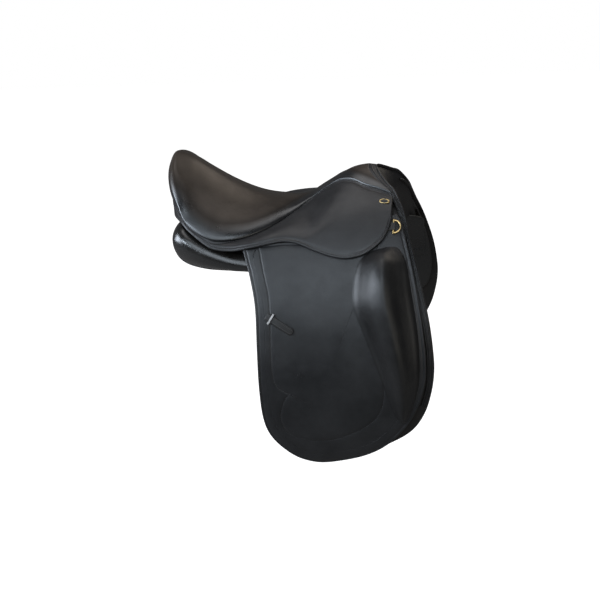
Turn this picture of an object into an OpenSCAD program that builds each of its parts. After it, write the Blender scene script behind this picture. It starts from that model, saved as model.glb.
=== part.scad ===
// Dressage saddle. Millimetres. X forward, Y to the left side, Z up.
// The origin is the rack ridge under the seat, on the centre plane.

/* [Side surface] */
// outside radius of the hanging flaps, which the whole saddle follows
side_r = 450; // [420:1:520]
// thickness of flap, skirt and sweat flap leather
leather_t = 4; // [3:0.5:5]
// play between pieces that lie on each other
play = 0.4; // [0.3:0.1:0.8]
// room between flap and sweat flap for the girth straps
strap_gap = 9; // [8:0.5:14]
// room between flap and skirt for the dee chape
skirt_lift = 2.5; // [2:0.5:5]

/* [Seat] */
// thickness of the seat at its deepest place
seat_t = 27; // [22:1:34]
// thickness of the seat at the pommel
pommel_t = 14; // [10:1:18]
// thickness of the tree frame under the seat
frame_t = 10; // [7:0.5:12]
// thickness of the spring steels
spring_t = 2.5; // [2:0.5:4]

/* [Head] */
// room between the sweat flap and the head arch
head_room = 5; // [4:0.5:8]
// depth of the head arch, outside to inside
head_depth = 38; // [30:1:42]
// thickness of the head arch along the saddle
head_len = 24; // [18:1:28]
// how far the head arch lies ahead of the rack ridge, as a share of the flap radius
head_ahead = 0.3333; // [0.32:0.0001:0.35]
// thickness of the steel gullet plate
plate_t = 5; // [3:0.5:6]
// rivet radius in the head
rivet_r = 3; // [2:0.25:4]

/* [Stirrup bar] */
// height of the bar
bar_h = 10; // [8:0.5:13]
// thickness of the bar
bar_t = 7; // [6:0.5:8]
// length of the straight bar
bar_len = 74; // [60:1:80]
// length of the thumb catch past its pin
catch_len = 16; // [12:1:20]
// radius of the catch pin
catch_pin_r = 1.6; // [1.2:0.1:2]

/* [Girth straps] */
// width of a girth strap
strap_w = 25; // [20:1:30]
// thickness of a girth strap
strap_t = 4; // [3:0.5:5]
// number of buckle holes in a strap
strap_holes = 7; // [4:1:8]
// distance between buckle holes
strap_pitch = 25; // [20:1:28]
// radius of a buckle hole
strap_hole_r = 2.5; // [2:0.25:3]
// radius of the rivet that carries a strap
strap_rivet_r = 3; // [2.5:0.25:4]

/* [Dee ring] */
// radius of the dee bar
dee_wire_r = 1.75; // [1.25:0.25:2]
// radius of the dee bow, to the wire centre
dee_r = 13; // [10:0.5:15]
// wire radius of the dee bow
dee_bow_r = 1.5; // [1:0.1:1.6]

/* [Keeper] */
// length of the keeper strap on the flap
keeper_len = 54; // [40:1:64]
// width of the keeper strap
keeper_w = 16; // [12:1:20]
// thickness of the keeper strap
keeper_t = 3; // [2:0.5:4]

/* [Knee block] */
// height of the block over the flap
block_h = 44; // [30:1:50]

/* [Hidden] */
$fn = 96;

// places are given for a flap radius of 450 and grow with it
grow = side_r / 450;
// the flap axis lies past the centre plane and below the rack ridge
side_off = 180 * grow;
side_drop = 255 * grow;
head_x = round(450 * head_ahead) * grow;

// radii of the layers on the side surface, from outside to inside
skirt_in = side_r + skirt_lift;
skirt_out = skirt_in + leather_t;
flap_in = side_r - leather_t;
sweat_out = flap_in - strap_gap;
sweat_in = sweat_out - leather_t;
head_r = sweat_in - head_room;
head_in = head_r - head_depth;
web_out = sweat_out + play + 2;
strap_in = web_out + play;
bar_in = side_r - 3 - bar_t;
slit = 0.6;

// colours
black = [0.16, 0.16, 0.17];
brown = [0.2, 0.18, 0.16];
wool = [0.24, 0.24, 0.25];
ply = [0.72, 0.56, 0.36];
steel = [0.62, 0.63, 0.65];
brass = [0.78, 0.64, 0.32];
webbing = [0.85, 0.82, 0.72];

// cubic through knots k at place x, slopes from the neighbours
function slope(k, v, i) = let(a = max(i - 1, 0), b = min(i + 1, len(k) - 1)) (v[b] - v[a]) / (k[b] - k[a]);
function seg(k, x, i = 0) = (i >= len(k) - 2 || (x - k[i + 1]) * (k[1] - k[0]) <= 0) ? i : seg(k, x, i + 1);
function ease(k, v, x) = let(
  i = seg(k, x), h = k[i + 1] - k[i], t = min(max((x - k[i]) / h, 0), 1))
  (2 * t ^ 3 - 3 * t ^ 2 + 1) * v[i] + (t ^ 3 - 2 * t ^ 2 + t) * h * slope(k, v, i)
  + (3 * t ^ 2 - 2 * t ^ 3) * v[i + 1] + (t ^ 3 - t ^ 2) * h * slope(k, v, i + 1);
function column(rows, c) = [for (r = rows) r[c]];
function count(rows) = [for (i = [0:len(rows) - 1]) i];
// rounded run through points
function run(pts, n) = [for (i = [0:(len(pts) - 1) * n])
  [ease(count(pts), column(pts, 0), i / n), ease(count(pts), column(pts, 1), i / n)]];

// place on the right side surface at height z and radius r
function side_a(z, r) = asin((z + side_drop) / r);
function side_y(a, r) = side_off - r * cos(a);
function side_z(a, r) = r * sin(a) - side_drop;
// outline given by heights on radius r, seen square to the surface at the angle tilt
function flat(pts, r, tilt) = [for (p = pts) [p[0], r * sin(side_a(p[1], r) - tilt)]];

module ring(r_in, r_out) {
  translate([-320 * grow, side_off, -side_drop])
  rotate([0, 90, 0])
  difference() {
    cylinder(h = 640 * grow, r = r_out, $fn = 180);
    translate([0, 0, -1]) cylinder(h = 640 * grow + 2, r = r_in, $fn = 180);
  }
}

module square_to(tilt, r0 = side_r - 120, r1 = side_r + 50) {
  translate([0, side_off, -side_drop])
  rotate([90 - tilt, 0, 0])
  translate([0, 0, r0])
  linear_extrude(height = r1 - r0)
  children();
}

// piece of leather or metal bent round the side surface
module bent(pts, r_in, r_out, tilt, r = side_r) {
  intersection() {
    ring(r_in, r_out);
    square_to(tilt) polygon(flat(pts, r, tilt));
  }
}

// round thing square to the side surface
module peg(x, z, r, r0, r1, rad) {
  a = side_a(z, r);
  translate([x, side_off, -side_drop])
  rotate([90 - a, 0, 0])
  translate([0, 0, r0])
  cylinder(h = r1 - r0, r = rad, $fn = 40);
}

module left() {
  mirror([0, 1, 0]) children();
}

function box(x0, x1, z0, z1) = [[x0, z0], [x1, z0], [x1, z1], [x0, z1]];

// closed rows of points joined into a solid
module rows_solid(rows) {
  n = len(rows);
  m = len(rows[0]);
  pts = [for (r = rows) each r];
  polyhedron(points = pts, faces = concat(
    [for (i = [0:n - 2]) for (j = [0:m - 1]) let(k = (j + 1) % m)
      each [[i * m + j, i * m + k, (i + 1) * m + k], [i * m + j, (i + 1) * m + k, (i + 1) * m + j]]],
    [for (j = [1:m - 2]) [0, j + 1, j]],
    [for (j = [1:m - 2]) [(n - 1) * m, (n - 1) * m + j, (n - 1) * m + j + 1]]));
}

// plate between an upper and a lower grid of points
module plate_solid(top, low) {
  n = len(top);
  h = len(top[0]);
  m = 2 * h;
  e = (n - 1) * m;
  pts = [for (i = [0:n - 1]) each concat(low[i], [for (j = [h - 1:-1:0]) top[i][j]])];
  polyhedron(points = pts, faces = concat(
    [for (i = [0:n - 2]) for (j = [0:m - 1]) let(k = (j + 1) % m)
      each [[i * m + j, i * m + k, (i + 1) * m + k], [i * m + j, (i + 1) * m + k, (i + 1) * m + j]]],
    [for (j = [0:h - 2]) each [[j, m - 1 - j, m - 2 - j], [j, m - 2 - j, j + 1]]],
    [for (j = [0:h - 2]) each [[e + j, e + j + 1, e + m - 2 - j], [e + j, e + m - 2 - j, e + m - 1 - j]]]));
}

// seat stations from pommel to cantle:
// seam x, seam half width, seam height, belly, rim height, middle height, spine x, thickness share
SEAT_PLACES = [
  [205, 80, 108, 1.5, 114, 149, 153, 0],
  [180, 71, 116, 1.5, 121, 149, 141, 0],
  [153, 59, 121, 1.5, 126, 149, 128, 0.05],
  [126, 40, 127.5, 1.5, 131.5, 143.5, 113, 0.15],
  [101, 27, 123.5, 1.5, 127.5, 130.5, 97, 0.3],
  [80, 22, 112.5, 1.5, 116.5, 116.5, 79, 0.5],
  [60, 24, 100, 2, 104, 103.5, 60, 0.7],
  [40, 30, 85.5, 3, 90.5, 93.5, 40, 0.9],
  [4, 62, 64, 5, 73, 84, 4, 1],
  [-29, 98, 50.5, 7, 62, 83.5, -26, 1],
  [-64, 126, 42.5, 9, 55, 87.5, -52, 1],
  [-101, 143, 39.5, 10, 53, 102.5, -75, 1],
  [-141, 149, 42.5, 10, 60, 125, -93, 1.05],
  [-184, 134, 64, 9, 84, 155, -106, 1.1],
  [-204, 114, 85, 8, 113, 168.5, -112, 1.1],
  [-232, 66, 97, 9, 164, 181.5, -116, 1.1],
  [-245, 0, 102, 11, 181, 184, -118, 1.1]];
SEAT = [for (r = SEAT_PLACES) [for (c = [0:7]) c == 7 ? r[c] : grow * r[c]]];
seat_k = count(SEAT);
seat_last = len(SEAT) - 1;
seat_end = SEAT[seat_last][0];
function seat_at(u, c) = ease(seat_k, column(SEAT, c), u);
function seat_x(x, c) = ease(column(SEAT, 0), column(SEAT, c), x);
// plan place on the ray u, share q of the way from the spine to the belly or seam edge
function out_dir(u) = let(d = [seat_at(u, 0) - seat_at(u, 6), seat_at(u, 1)]) d / norm(d);
function edge(u, over) = [seat_at(u, 0), seat_at(u, 1)] + over * out_dir(u);
function plan(u, q, over) = let(e = edge(u, over), s = seat_at(u, 6))
  [s + (e[0] - s) * (q ^ (u < 5 ? 2 - 0.2 * u : 1)), e[1] * q];
// height of the seat top over a plan place
function seat_top(x, y) = let(xx = max(x, seat_end + 0.1), w = max(seat_x(xx, 1) + seat_x(xx, 3), 4),
  mid = seat_x(max(x, seat_end), 5))
  mid - (mid - seat_x(xx, 4)) * min(abs(y) / w, 1) ^ 1.6;
// half profile of the seat on one ray: top, rim, side, seam, underside
function seat_ray(u) = let(
  b = seat_at(u, 3), l = norm(edge(u, b) - [seat_at(u, 6), 0]),
  e = edge(u, b), rim = seat_top(e[0], e[1]), zs = seat_at(u, 2), hs = rim - zs,
  rr = min(20, hs * 0.55), hh = hs * 0.55, under = seat_low(u))
  concat(
    [for (q = [0, 0.2, 0.4, 0.6, 0.8, 1]) let(p = plan(u, q * (l - rr) / l, b))
      [p[0], p[1], seat_top(p[0], p[1])]],
    [for (f = [30, 60, 90]) let(p = plan(u, (l - rr + rr * sin(f)) / l, b))
      [p[0], p[1], seat_top(p[0], p[1]) - hh * (1 - cos(f))]],
    [for (f = [120, 150, 180]) let(p = plan(u, (l - b + b * sin(f)) / l, b))
      [p[0], p[1], rim - hh + (hs - hh) * cos(f)]],
    [for (q = [0.75, 0.5, 0.25, 0]) under_p(u, q)]);
// underside: bows from the seam up or down to the spine
function seat_low(u) = seat_x(seat_at(u, 6), 5) - pommel_t - (seat_t - pommel_t) * seat_at(u, 7);
UNDER = [[0, 1], [0.25, 0.9375], [0.5, 0.75], [0.75, 0.4375], [1, 0]];
function under_p(u, q, down = 0) = let(p = plan(u, q, 0), zs = seat_at(u, 2))
  [p[0], p[1], zs + (seat_low(u) - zs) * lookup(q, UNDER) - down];
seat_n = 26;
function seat_u(i) = seat_last * i / seat_n;
under_play = 2;

module seat() {
  half = [for (i = [0:seat_n]) seat_ray(seat_u(i))];
  m = len(half[0]);
  w = 2 * m - 2;
  pts = [for (i = [0:seat_n])
    each concat(half[i], [for (j = [m - 2:-1:1]) let(p = half[i][j]) [p[0], -p[1], p[2]]])];
  last = seat_n * w;
  function id(i, j) = let(c = j % w) (i == seat_n && c >= m) ? last + w - c : i * w + c;
  function mir(j) = (w - j) % w;
  FRONT = [15, 14, 13, 12, 12, 11, 11, 11, 11, 11, 11];
  color(brown)
  polyhedron(points = [for (k = [0:last + m - 1]) pts[k]], faces = concat(
    [for (i = [0:seat_n - 1]) for (j = [0:w - 1])
      each [[id(i, j), id(i, j + 1), id(i + 1, j + 1)], [id(i, j), id(i + 1, j + 1), id(i + 1, j)]]],
    // front face, between the top and the underside
    [for (j = [0:9]) each [[j + 1, j, FRONT[j]], [mir(j), mir(j + 1), mir(FRONT[j])]]],
    [for (j = [0:4]) each FRONT[j] == FRONT[j + 1] ? []
      : [[j + 1, FRONT[j], FRONT[j + 1]], [mir(j + 1), mir(FRONT[j + 1]), mir(FRONT[j])]]]));
}

// slab that follows the underside of the seat on one side
function slab_rows(i0, i1, qs, d, s) = [for (i = [i0:i1])
  [for (q = qs) let(p = under_p(seat_u(i), q, d)) [p[0], s * p[1], p[2]]]];
module slab(i0, i1, qs, d, t, s) {
  a = slab_rows(i0, i1, qs, d, s);
  b = slab_rows(i0, i1, qs, d + t, s);
  if (s > 0) plate_solid(b, a);
  else plate_solid(a, b);
}

frame_i0 = 2;
frame_qs = [0.5, 0.75, 0.9];
// the frame runs down the right side, round the cantle and up the left side
module tree_frame() {
  function both(d) = let(r = slab_rows(frame_i0, seat_n, frame_qs, d, 1)) concat(
    [for (row = r) [for (p = row) [p[0], -p[1], p[2]]]],
    [for (i = [len(r) - 2:-1:0]) r[i]]);
  color(ply) plate_solid(both(under_play), both(under_play + frame_t));
}

module spring(s) {
  slab(4, 20, [0.6, 0.75, 0.8], 2 * under_play + frame_t, spring_t, s);
}
module spring_right() {
  color(steel) spring(-1);
}
module spring_left() {
  color(steel) spring(1);
}

// webs stretched across between the two bars of the frame
function web_rows(i0, d) = [for (i = [i0, i0 + 1, i0 + 2])
  [for (q = [-0.496, -0.25, 0, 0.25, 0.496]) let(p = under_p(seat_u(i), abs(q), d))
    [p[0], q < 0 ? -p[1] : p[1], p[2]]]];
module seat_webs() {
  color(webbing)
  for (i0 = [11, 14, 17])
    plate_solid(web_rows(i0, under_play), web_rows(i0, under_play + 2));
}

// arch of both side circles, inside radius r, cut at height top
module arch(r, top) {
  intersection() {
    translate([side_off, -side_drop]) circle(r = r, $fn = 180);
    translate([-side_off, -side_drop]) circle(r = r, $fn = 180);
    translate([-side_off, -side_drop]) square([2 * side_off, side_drop + top]);
  }
}
head_top = 115.6 * grow;
head_cut = 31 * grow;
// everything above the slanted ends of the points
module above_points(z) {
  for (s = [0, 1])
    mirror([0, s, 0])
    intersection() {
      square_to(40, side_r - 250)
      polygon(concat(flat([[100 * grow, z], [240 * grow, z]], head_r, 40),
        grow * [[240, 420], [100, 420]]));
      translate(grow * [0, -300, -300]) cube(grow * [400, 300, 600]);
    }
}
// rivets on the middle of the arch, one in the crown and one on each side
rivet_at = (head_in + head_r) / 2;
rivet_turn = 51.4;
rivet_side = rivet_at * cos(rivet_turn) - side_off;
rivet_low = rivet_at * sin(rivet_turn) - side_drop;
crown_in = sqrt(head_in ^ 2 - side_off ^ 2) - side_drop;
rivet_y = [0, rivet_side, -rivet_side];
rivet_z = [(crown_in + head_top) / 2, rivet_low, rivet_low];
module head_arch(x, len, r0, r1, top, z) {
  intersection() {
    translate([x, 0, 0])
    rotate([90, 0, 90])
    linear_extrude(height = len)
    difference() {
      arch(r1, top);
      arch(r0, top + 1);
    }
    above_points(z);
  }
}
module rivet_bores(r) {
  for (i = [0:2])
    translate([head_x - 40, rivet_y[i], rivet_z[i]]) rotate([0, 90, 0]) cylinder(h = 90, r = r, $fn = 32);
}
module tree_head() {
  color(ply)
  difference() {
    head_arch(head_x, head_len, head_in, head_r, head_top, head_cut);
    rivet_bores(rivet_r + play / 2);
  }
}
module gullet_plate() {
  color(steel)
  difference() {
    head_arch(head_x - play - plate_t, plate_t, head_in + 3, head_r - 4, head_top - 3, head_cut + 30);
    rivet_bores(rivet_r + play / 2);
  }
}
module head_rivets() {
  color(steel)
  for (i = [0:2])
    translate([head_x - 2 * play - plate_t - 2.4, rivet_y[i], rivet_z[i]])
    rotate([0, 90, 0]) {
      cylinder(h = 2.4, r = rivet_r + 2, $fn = 32);
      cylinder(h = head_len + plate_t + 2 * play + 4.6, r = rivet_r, $fn = 32);
      translate([0, 0, head_len + plate_t + 3 * play + 2.4]) cylinder(h = 2.4, r = rivet_r + 2, $fn = 32);
    }
}
lining_t = 3.5;
module head_lining() {
  r1 = head_in - play;
  color(black) head_arch(head_x - 14, 58, r1 - lining_t, r1, head_top, head_cut - 6);
}

pocket_wall = 4.2;
pocket_floor = 8;
point_play = 0.8;
module point_pocket() {
  x0 = head_x - play;
  x1 = head_x + head_len + play;
  z0 = head_cut - point_play;
  difference() {
    bent(box(x0 - 3.7, x1 + 3.7, z0 - pocket_floor, head_cut + 12.2),
      head_in + 2, head_r + play + pocket_wall, 40, head_r);
    bent(box(x0, x1, z0, head_cut + 80), head_in - 9, head_r + play, 40, head_r);
  }
}
module point_pocket_right() {
  color(black) point_pocket();
}
module point_pocket_left() {
  color(black) left() point_pocket();
}

// stirrup bar: plate on the head, neck and open bar
bar_z = 68 * grow;
bar_front = 192 * grow;
bar_end = bar_front - bar_len;
pin_x = bar_end - 1;
bar_out = bar_in + bar_t;
lap = bar_in + bar_t / 2;
module stirrup_bar() {
  z0 = bar_z - bar_h / 2;
  z1 = bar_z + bar_h / 2;
  difference() {
    union() {
      bent(box(head_x - 4, bar_front, z0 - 3, z1 + 8), head_r + play, head_r + play + 4, 45);
      bent(box(bar_front - 13, bar_front, z0, z1), head_r + play + 2, bar_out, 45);
      bent(box(bar_end + 6, bar_front, z0, z1), bar_in, bar_out, 45);
      bent(box(bar_end - 5, bar_front - 1, z0, z1), bar_in, lap - play / 2, 45);
    }
    peg(pin_x, bar_z, side_r, side_r - 25, side_r + 20, catch_pin_r + play / 2);
  }
}
module stirrup_bar_right() {
  color(steel) stirrup_bar();
}
module stirrup_bar_left() {
  color(steel) left() stirrup_bar();
}
module bar_catch() {
  difference() {
    union() {
      bent(box(pin_x - catch_len, pin_x, bar_z - bar_h / 2 + 1, bar_z + bar_h / 2 - 1),
        lap + play / 2, bar_out, 45);
      intersection() {
        ring(lap + play / 2, bar_out);
        peg(pin_x, bar_z, side_r, side_r - 25, side_r + 20, bar_h / 2 - 0.6);
      }
    }
    peg(pin_x, bar_z, side_r, side_r - 25, side_r + 20, catch_pin_r + play);
  }
}
module bar_catch_right() {
  color(steel) bar_catch();
}
module bar_catch_left() {
  color(steel) left() bar_catch();
}
module catch_pin() {
  peg(pin_x, bar_z, side_r, bar_in - 0.6, bar_out + 0.8, catch_pin_r);
}
module catch_pins() {
  color(steel) {
    catch_pin();
    left() catch_pin();
  }
}

// girth straps hang from rivets in a web
strap_x = grow * [44, 122];
strap_z = 14 * grow;
strap_end = -262 * grow;
web_top = 37 * grow;
module girth_web() {
  x0 = strap_x[0] - 22;
  x1 = strap_x[1] + 22;
  difference() {
    union() {
      bent(box(x0, x1, strap_z - 14, web_top), sweat_out + play, web_out, 38);
      bent(box(x0, x1, web_top - 7, web_top), sweat_out + play, flap_in - play, 38);
    }
    for (x = strap_x)
      peg(x, strap_z, side_r, side_r - 25, side_r + 10, strap_rivet_r + play / 2);
  }
}
module girth_web_right() {
  color(webbing) girth_web();
}
module girth_web_left() {
  color(webbing) left() girth_web();
}
module strap_rivet_pair() {
  for (x = strap_x)
    intersection() {
      ring(sweat_out + play, flap_in - play);
      peg(x, strap_z, side_r, side_r - 25, side_r + 10, strap_rivet_r);
    }
}
module strap_rivets() {
  color(steel) {
    strap_rivet_pair();
    left() strap_rivet_pair();
  }
}
// hole heights follow the strap upwards from its tip
function hole_z(i) = side_z(side_a(strap_end, side_r) + (22 + i * strap_pitch) / side_r * 180 / PI, side_r);
module girth_strap(x) {
  w = strap_w / 2;
  difference() {
    union() {
      bent([[x - w, strap_z], [x - w, strap_end + 9], [x - w / 2, strap_end], [x + w / 2, strap_end],
        [x + w, strap_end + 9], [x + w, strap_z]], strap_in, strap_in + strap_t, 15);
      intersection() {
        ring(strap_in, strap_in + strap_t);
        peg(x, strap_z, side_r, side_r - 25, side_r + 10, w - 0.3);
      }
    }
    peg(x, strap_z, side_r, side_r - 25, side_r + 10, strap_rivet_r + play);
    for (i = [0:strap_holes - 1])
      peg(x, hole_z(i), side_r, side_r - 25, side_r + 10, strap_hole_r);
  }
}
module girth_strap_front_right() {
  color(black) girth_strap(strap_x[1]);
}
module girth_strap_rear_right() {
  color(black) girth_strap(strap_x[0]);
}
module girth_strap_front_left() {
  color(black) left() girth_strap(strap_x[1]);
}
module girth_strap_rear_left() {
  color(black) left() girth_strap(strap_x[0]);
}

// panel stations: x, middle y, middle z, half width, half depth, slope
PANEL_PLACES = [
  [-233, 84, 22, 14, 9, 4],
  [-226, 84, 22, 42, 30, 5],
  [-203, 87, 18.5, 56, 43.5, 6],
  [-160, 93, 8, 62, 37, 8],
  [-105, 98, 1.5, 64, 27, 11],
  [-45, 105, 0, 63, 22, 17],
  [25, 121, -13, 68, 24, 33],
  [95, 148, -36, 72, 22, 49],
  [160, 176, -58, 74, 18, 59],
  [212, 187, -66, 72, 15, 61],
  [252, 190, -70, 62, 10, 62],
  [264, 191, -72, 36, 4, 62]];
PANEL = [for (r = PANEL_PLACES) [for (c = [0:5]) c == 5 ? r[c] : grow * r[c]]];
panel_bend = 420 * grow;
function panel_at(i, c) = ease(count(PANEL), column(PANEL, c), i);
// bent rounded section; f runs round it
function panel_p(i, f) = let(
  a = panel_at(i, 3), b = panel_at(i, 4), t = panel_at(i, 5),
  s = a * sign(cos(f)) * abs(cos(f)) ^ 0.75, n = b * sign(sin(f)) * abs(sin(f)) ^ 0.8,
  d = t + s / panel_bend * 180 / PI, cy = panel_at(i, 1) - panel_bend * sin(t),
  cz = panel_at(i, 2) - panel_bend * cos(t))
  [panel_at(i, 0), -(cy + (panel_bend + n) * sin(d)), cz + (panel_bend + n) * cos(d)];
panel_n = 24;
module panel() {
  rows_solid([for (i = [0:panel_n]) [for (j = [0:17]) panel_p((len(PANEL) - 1) * i / panel_n, j * 20)]]);
}
module panel_right() {
  color(wool) panel();
}
module panel_left() {
  color(wool) left() panel();
}
module panel_bridge() {
  color(black)
  translate(grow * [-224, -70, 62.1]) cube([28 * grow, 140 * grow, 5]);
}

// flap outline, x and height on the outside face
FLAP = grow * concat(
  run([[216, 82], [225, 71], [235, 44], [247, 6], [259, -45], [269, -99], [275, -152], [275, -190],
    [268, -225], [254, -264], [232, -302], [200, -340], [160, -368], [110, -387], [66, -395], [26, -383],
    [-6, -353], [-26, -320], [-35, -280], [-38, -217], [-39, -142], [-42, -70], [-53, -20], [-71, 28]], 2),
  [[-71, 33], [6, 40], [78, 40], [198, 40], [203, 76]]);
hinge_tilt = 34;
hinge_front = grow * [238, 47.5];
hinge_rear = grow * [-45, -54.5];
hinge_far = 310 * grow;
function hinge_v(p) = side_r * sin(side_a(p[1], side_r) - hinge_tilt);
hinge_rise = (hinge_v(hinge_front) - hinge_v(hinge_rear)) / (hinge_front[0] - hinge_rear[0]);
function hinge_line(x) = hinge_v(hinge_rear) + (x - hinge_rear[0]) * hinge_rise;
module flap_shape(tilt, above) {
  s = above ? slit / 2 : -slit / 2;
  far = above ? 420 * grow : -440 * grow;
  intersection() {
    bent(FLAP, flap_in, side_r, tilt);
    square_to(hinge_tilt, side_r - 300)
    polygon([[-hinge_far, hinge_line(-hinge_far) + s], [hinge_far, hinge_line(hinge_far) + s],
      [hinge_far, far], [-hinge_far, far]]);
  }
}
module flap_head_right() {
  color(black) flap_shape(40, true);
}
module flap_head_left() {
  color(black) left() flap_shape(40, true);
}
module flap_right() {
  color(black) flap_shape(8, false);
}
module flap_left() {
  color(black) left() flap_shape(8, false);
}

SWEAT = grow * concat(
  run([[214, 98], [222, 92], [231, 76], [240, 47], [254, 6], [266, -35], [280, -91], [288, -144],
    [290, -180], [286, -219], [274, -265], [251, -306]], 2),
  run([[213, -338], [156, -370], [68, -382], [28, -368], [-2, -338], [-20, -305], [-28, -250], [-31, -150],
    [-36, -60], [-50, 0], [-56, 22]], 2),
  [[-40, 33], [20, 36], [196, 36], [203, 86]]);
module sweat_flap_right() {
  color(black) bent(SWEAT, sweat_in, sweat_out, 18, sweat_out);
}
module sweat_flap_left() {
  color(black) left() bent(SWEAT, sweat_in, sweat_out, 18, sweat_out);
}

// knee block: stations down its length: height on the flap, rear x, front x, ridge height share
BLOCK_PLACES = [
  [29, 196, 216, 0.1],
  [20, 170, 226, 0.42],
  [4, 153, 236, 0.8],
  [-26, 144, 246, 1],
  [-60, 143, 254, 1],
  [-100, 158, 261, 0.9],
  [-145, 177, 265, 0.76],
  [-190, 194, 265, 0.56],
  [-230, 207, 258, 0.36],
  [-262, 219, 248, 0.2],
  [-280, 229, 241, 0.06]];
BLOCK = [for (r = BLOCK_PLACES) [for (c = [0:3]) c == 3 ? r[c] : grow * r[c]]];
// height across the block: long rear flank, ridge, hollow, low front lip
BLOCK_ACROSS = [[0, 0], [0.08, 0.14], [0.2, 0.44], [0.34, 0.77], [0.46, 0.95], [0.56, 1],
  [0.66, 0.86], [0.76, 0.55], [0.87, 0.32], [0.95, 0.18], [1, 0]];
function block_at(i, c) = ease(count(BLOCK), column(BLOCK, c), i);
block_n = 20;
module knee_block() {
  function row(i, top) = [for (q = BLOCK_ACROSS) let(
    z = block_at(i, 0), x = block_at(i, 1) + (block_at(i, 2) - block_at(i, 1)) * q[0],
    a = side_a(z, side_r), r = side_r + play + (top ? 2 + block_h * block_at(i, 3) * q[1] : 0))
    [x, side_y(a, r), side_z(a, r)]];
  plate_solid(
    [for (i = [0:block_n]) row((len(BLOCK) - 1) * i / block_n, true)],
    [for (i = [0:block_n]) row((len(BLOCK) - 1) * i / block_n, false)]);
}
module knee_block_right() {
  color(black) knee_block();
}
module knee_block_left() {
  color(black) left() knee_block();
}

// keeper strap on the flap, held by a staple at its upper rear end
keeper_from = grow * [-21, -81];
keeper_drop = 31;
module keeper_frame() {
  a = side_a(keeper_from[1], side_r);
  translate([keeper_from[0], side_off, -side_drop])
  rotate([90 - a, 0, 0])
  rotate([0, 0, -keeper_drop])
  children();
}
staple_at = 8;
module keeper() {
  intersection() {
    ring(side_r + play, side_r + play + keeper_t);
    keeper_frame()
    translate([0, 0, side_r - 30])
    linear_extrude(height = 60)
    union() {
      translate([0, -keeper_w / 2]) square([keeper_len - keeper_w / 2, keeper_w]);
      translate([keeper_len - keeper_w / 2, 0]) circle(d = keeper_w);
    }
  }
}
module keeper_right() {
  color(black) keeper();
}
module keeper_left() {
  color(black) left() keeper();
}
module staple() {
  keeper_frame()
  translate([staple_at, 0, side_r + play])
  difference() {
    translate([0, -keeper_w / 2 - 3, 0]) cube([3.5, keeper_w + 6, keeper_t + play + 2]);
    translate([-1, -keeper_w / 2 - play, -1]) cube([6, keeper_w + 2 * play, keeper_t + play + 1]);
  }
}
module staple_right() {
  color(steel) staple();
}
module staple_left() {
  color(steel) left() staple();
}

// skirt: fixed band from the seat seam, and a lobe that lifts
lobe_front = grow * [208, 86];
lobe_rear = grow * [5, 50];
lobe_near = -20 * grow;
lobe_far = 300 * grow;
lobe_tilt = 45;
function lobe_v(p) = skirt_out * sin(side_a(p[1], skirt_out) - lobe_tilt);
lobe_rise = (lobe_v(lobe_front) - lobe_v(lobe_rear)) / (lobe_front[0] - lobe_rear[0]);
function lobe_line(x) = lobe_v(lobe_rear) + (x - lobe_rear[0]) * lobe_rise;
LOBE = grow * concat(
  [[216, 104]],
  run([[208, 84], [206, 73], [198, 55], [189, 45], [171, 32], [153, 24], [125, 19.5], [97, 23],
    [58, 34], [40, 41], [21, 46]], 2),
  [[21, 80]]);
module skirt_lobe() {
  intersection() {
    bent(LOBE, skirt_in, skirt_out, lobe_tilt, skirt_out);
    square_to(lobe_tilt)
    polygon([[lobe_near, lobe_line(lobe_near) - slit / 2], [lobe_far, lobe_line(lobe_far) - slit / 2],
      [lobe_far, -lobe_far], [lobe_near, -lobe_far]]);
  }
}
module skirt_lobe_right() {
  color(black) skirt_lobe();
}
module skirt_lobe_left() {
  color(black) left() skirt_lobe();
}
// lower edge of the fixed band behind the lobe, by seat station: x, half width, height
TAIL = grow * [[4, 161.4, 45], [-29, 167.4, 38.5], [-64, 171, 32], [-101, 166, 25], [-141, 159, 29],
  [-184, 137, 52], [-207, 116, 66], [-234, 70, 69], [-246, 0, 69]];
skirt_mid = (skirt_in + skirt_out) / 2;
function lobe_edge(x) = let(a = lobe_tilt + asin((lobe_line(x) + slit / 2) / skirt_out))
  [x, side_off - skirt_mid * cos(a), skirt_mid * sin(a) - side_drop];
function tail_at(u, c) = ease(count(TAIL), column(TAIL, c), u - 8);
function band_low(u) = u <= 7.6 ? lobe_edge(seat_at(u, 0) + 2 * (1 - u / 7.6))
  : [tail_at(max(u, 8), 0), -tail_at(max(u, 8), 1), tail_at(max(u, 8), 2)];
function band_top(u) = let(d = out_dir(u))
  [seat_at(u, 0) + 3 * d[0], -seat_at(u, 1) - 3 * d[1], seat_at(u, 2) - 1.15];
// the band leaves its lower edge along the side surface and bends in to the seam
function band_mid(u, v) = let(s = band_top(u), b = band_low(u), l = norm(s - b) * (u < 8 ? 0.46 : 0.3),
  a = u < 8 ? lobe_tilt : lobe_tilt - 35 * min(u - 8, 1), c = b + [0, sin(a), cos(a)] * l)
  s * (1 - v) ^ 2 + 2 * c * v * (1 - v) + b * v ^ 2;
function band_out(u) = let(k = min(max((u - 9) / 4, 0), 1), d = out_dir(u),
  a = u < 8 ? 48 : 48 - 40 * min((u - 8) / 2, 1))
  [k * d[0] * cos(a), -(1 - k) * cos(a) - k * d[1] * cos(a), sin(a)];
band_us = concat([for (i = [0:20]) 7.6 * i / 20], [for (i = [0:20]) 8 + 8 * i / 20]);
module skirt_band() {
  vs = [0, 0.2, 0.45, 0.7, 0.87, 1];
  plate_solid(
    [for (u = band_us) [for (v = vs) band_mid(u, v) + band_out(u) * leather_t / 2]],
    [for (u = band_us) [for (v = vs) band_mid(u, v) - band_out(u) * leather_t / 2]]);
}
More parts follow.
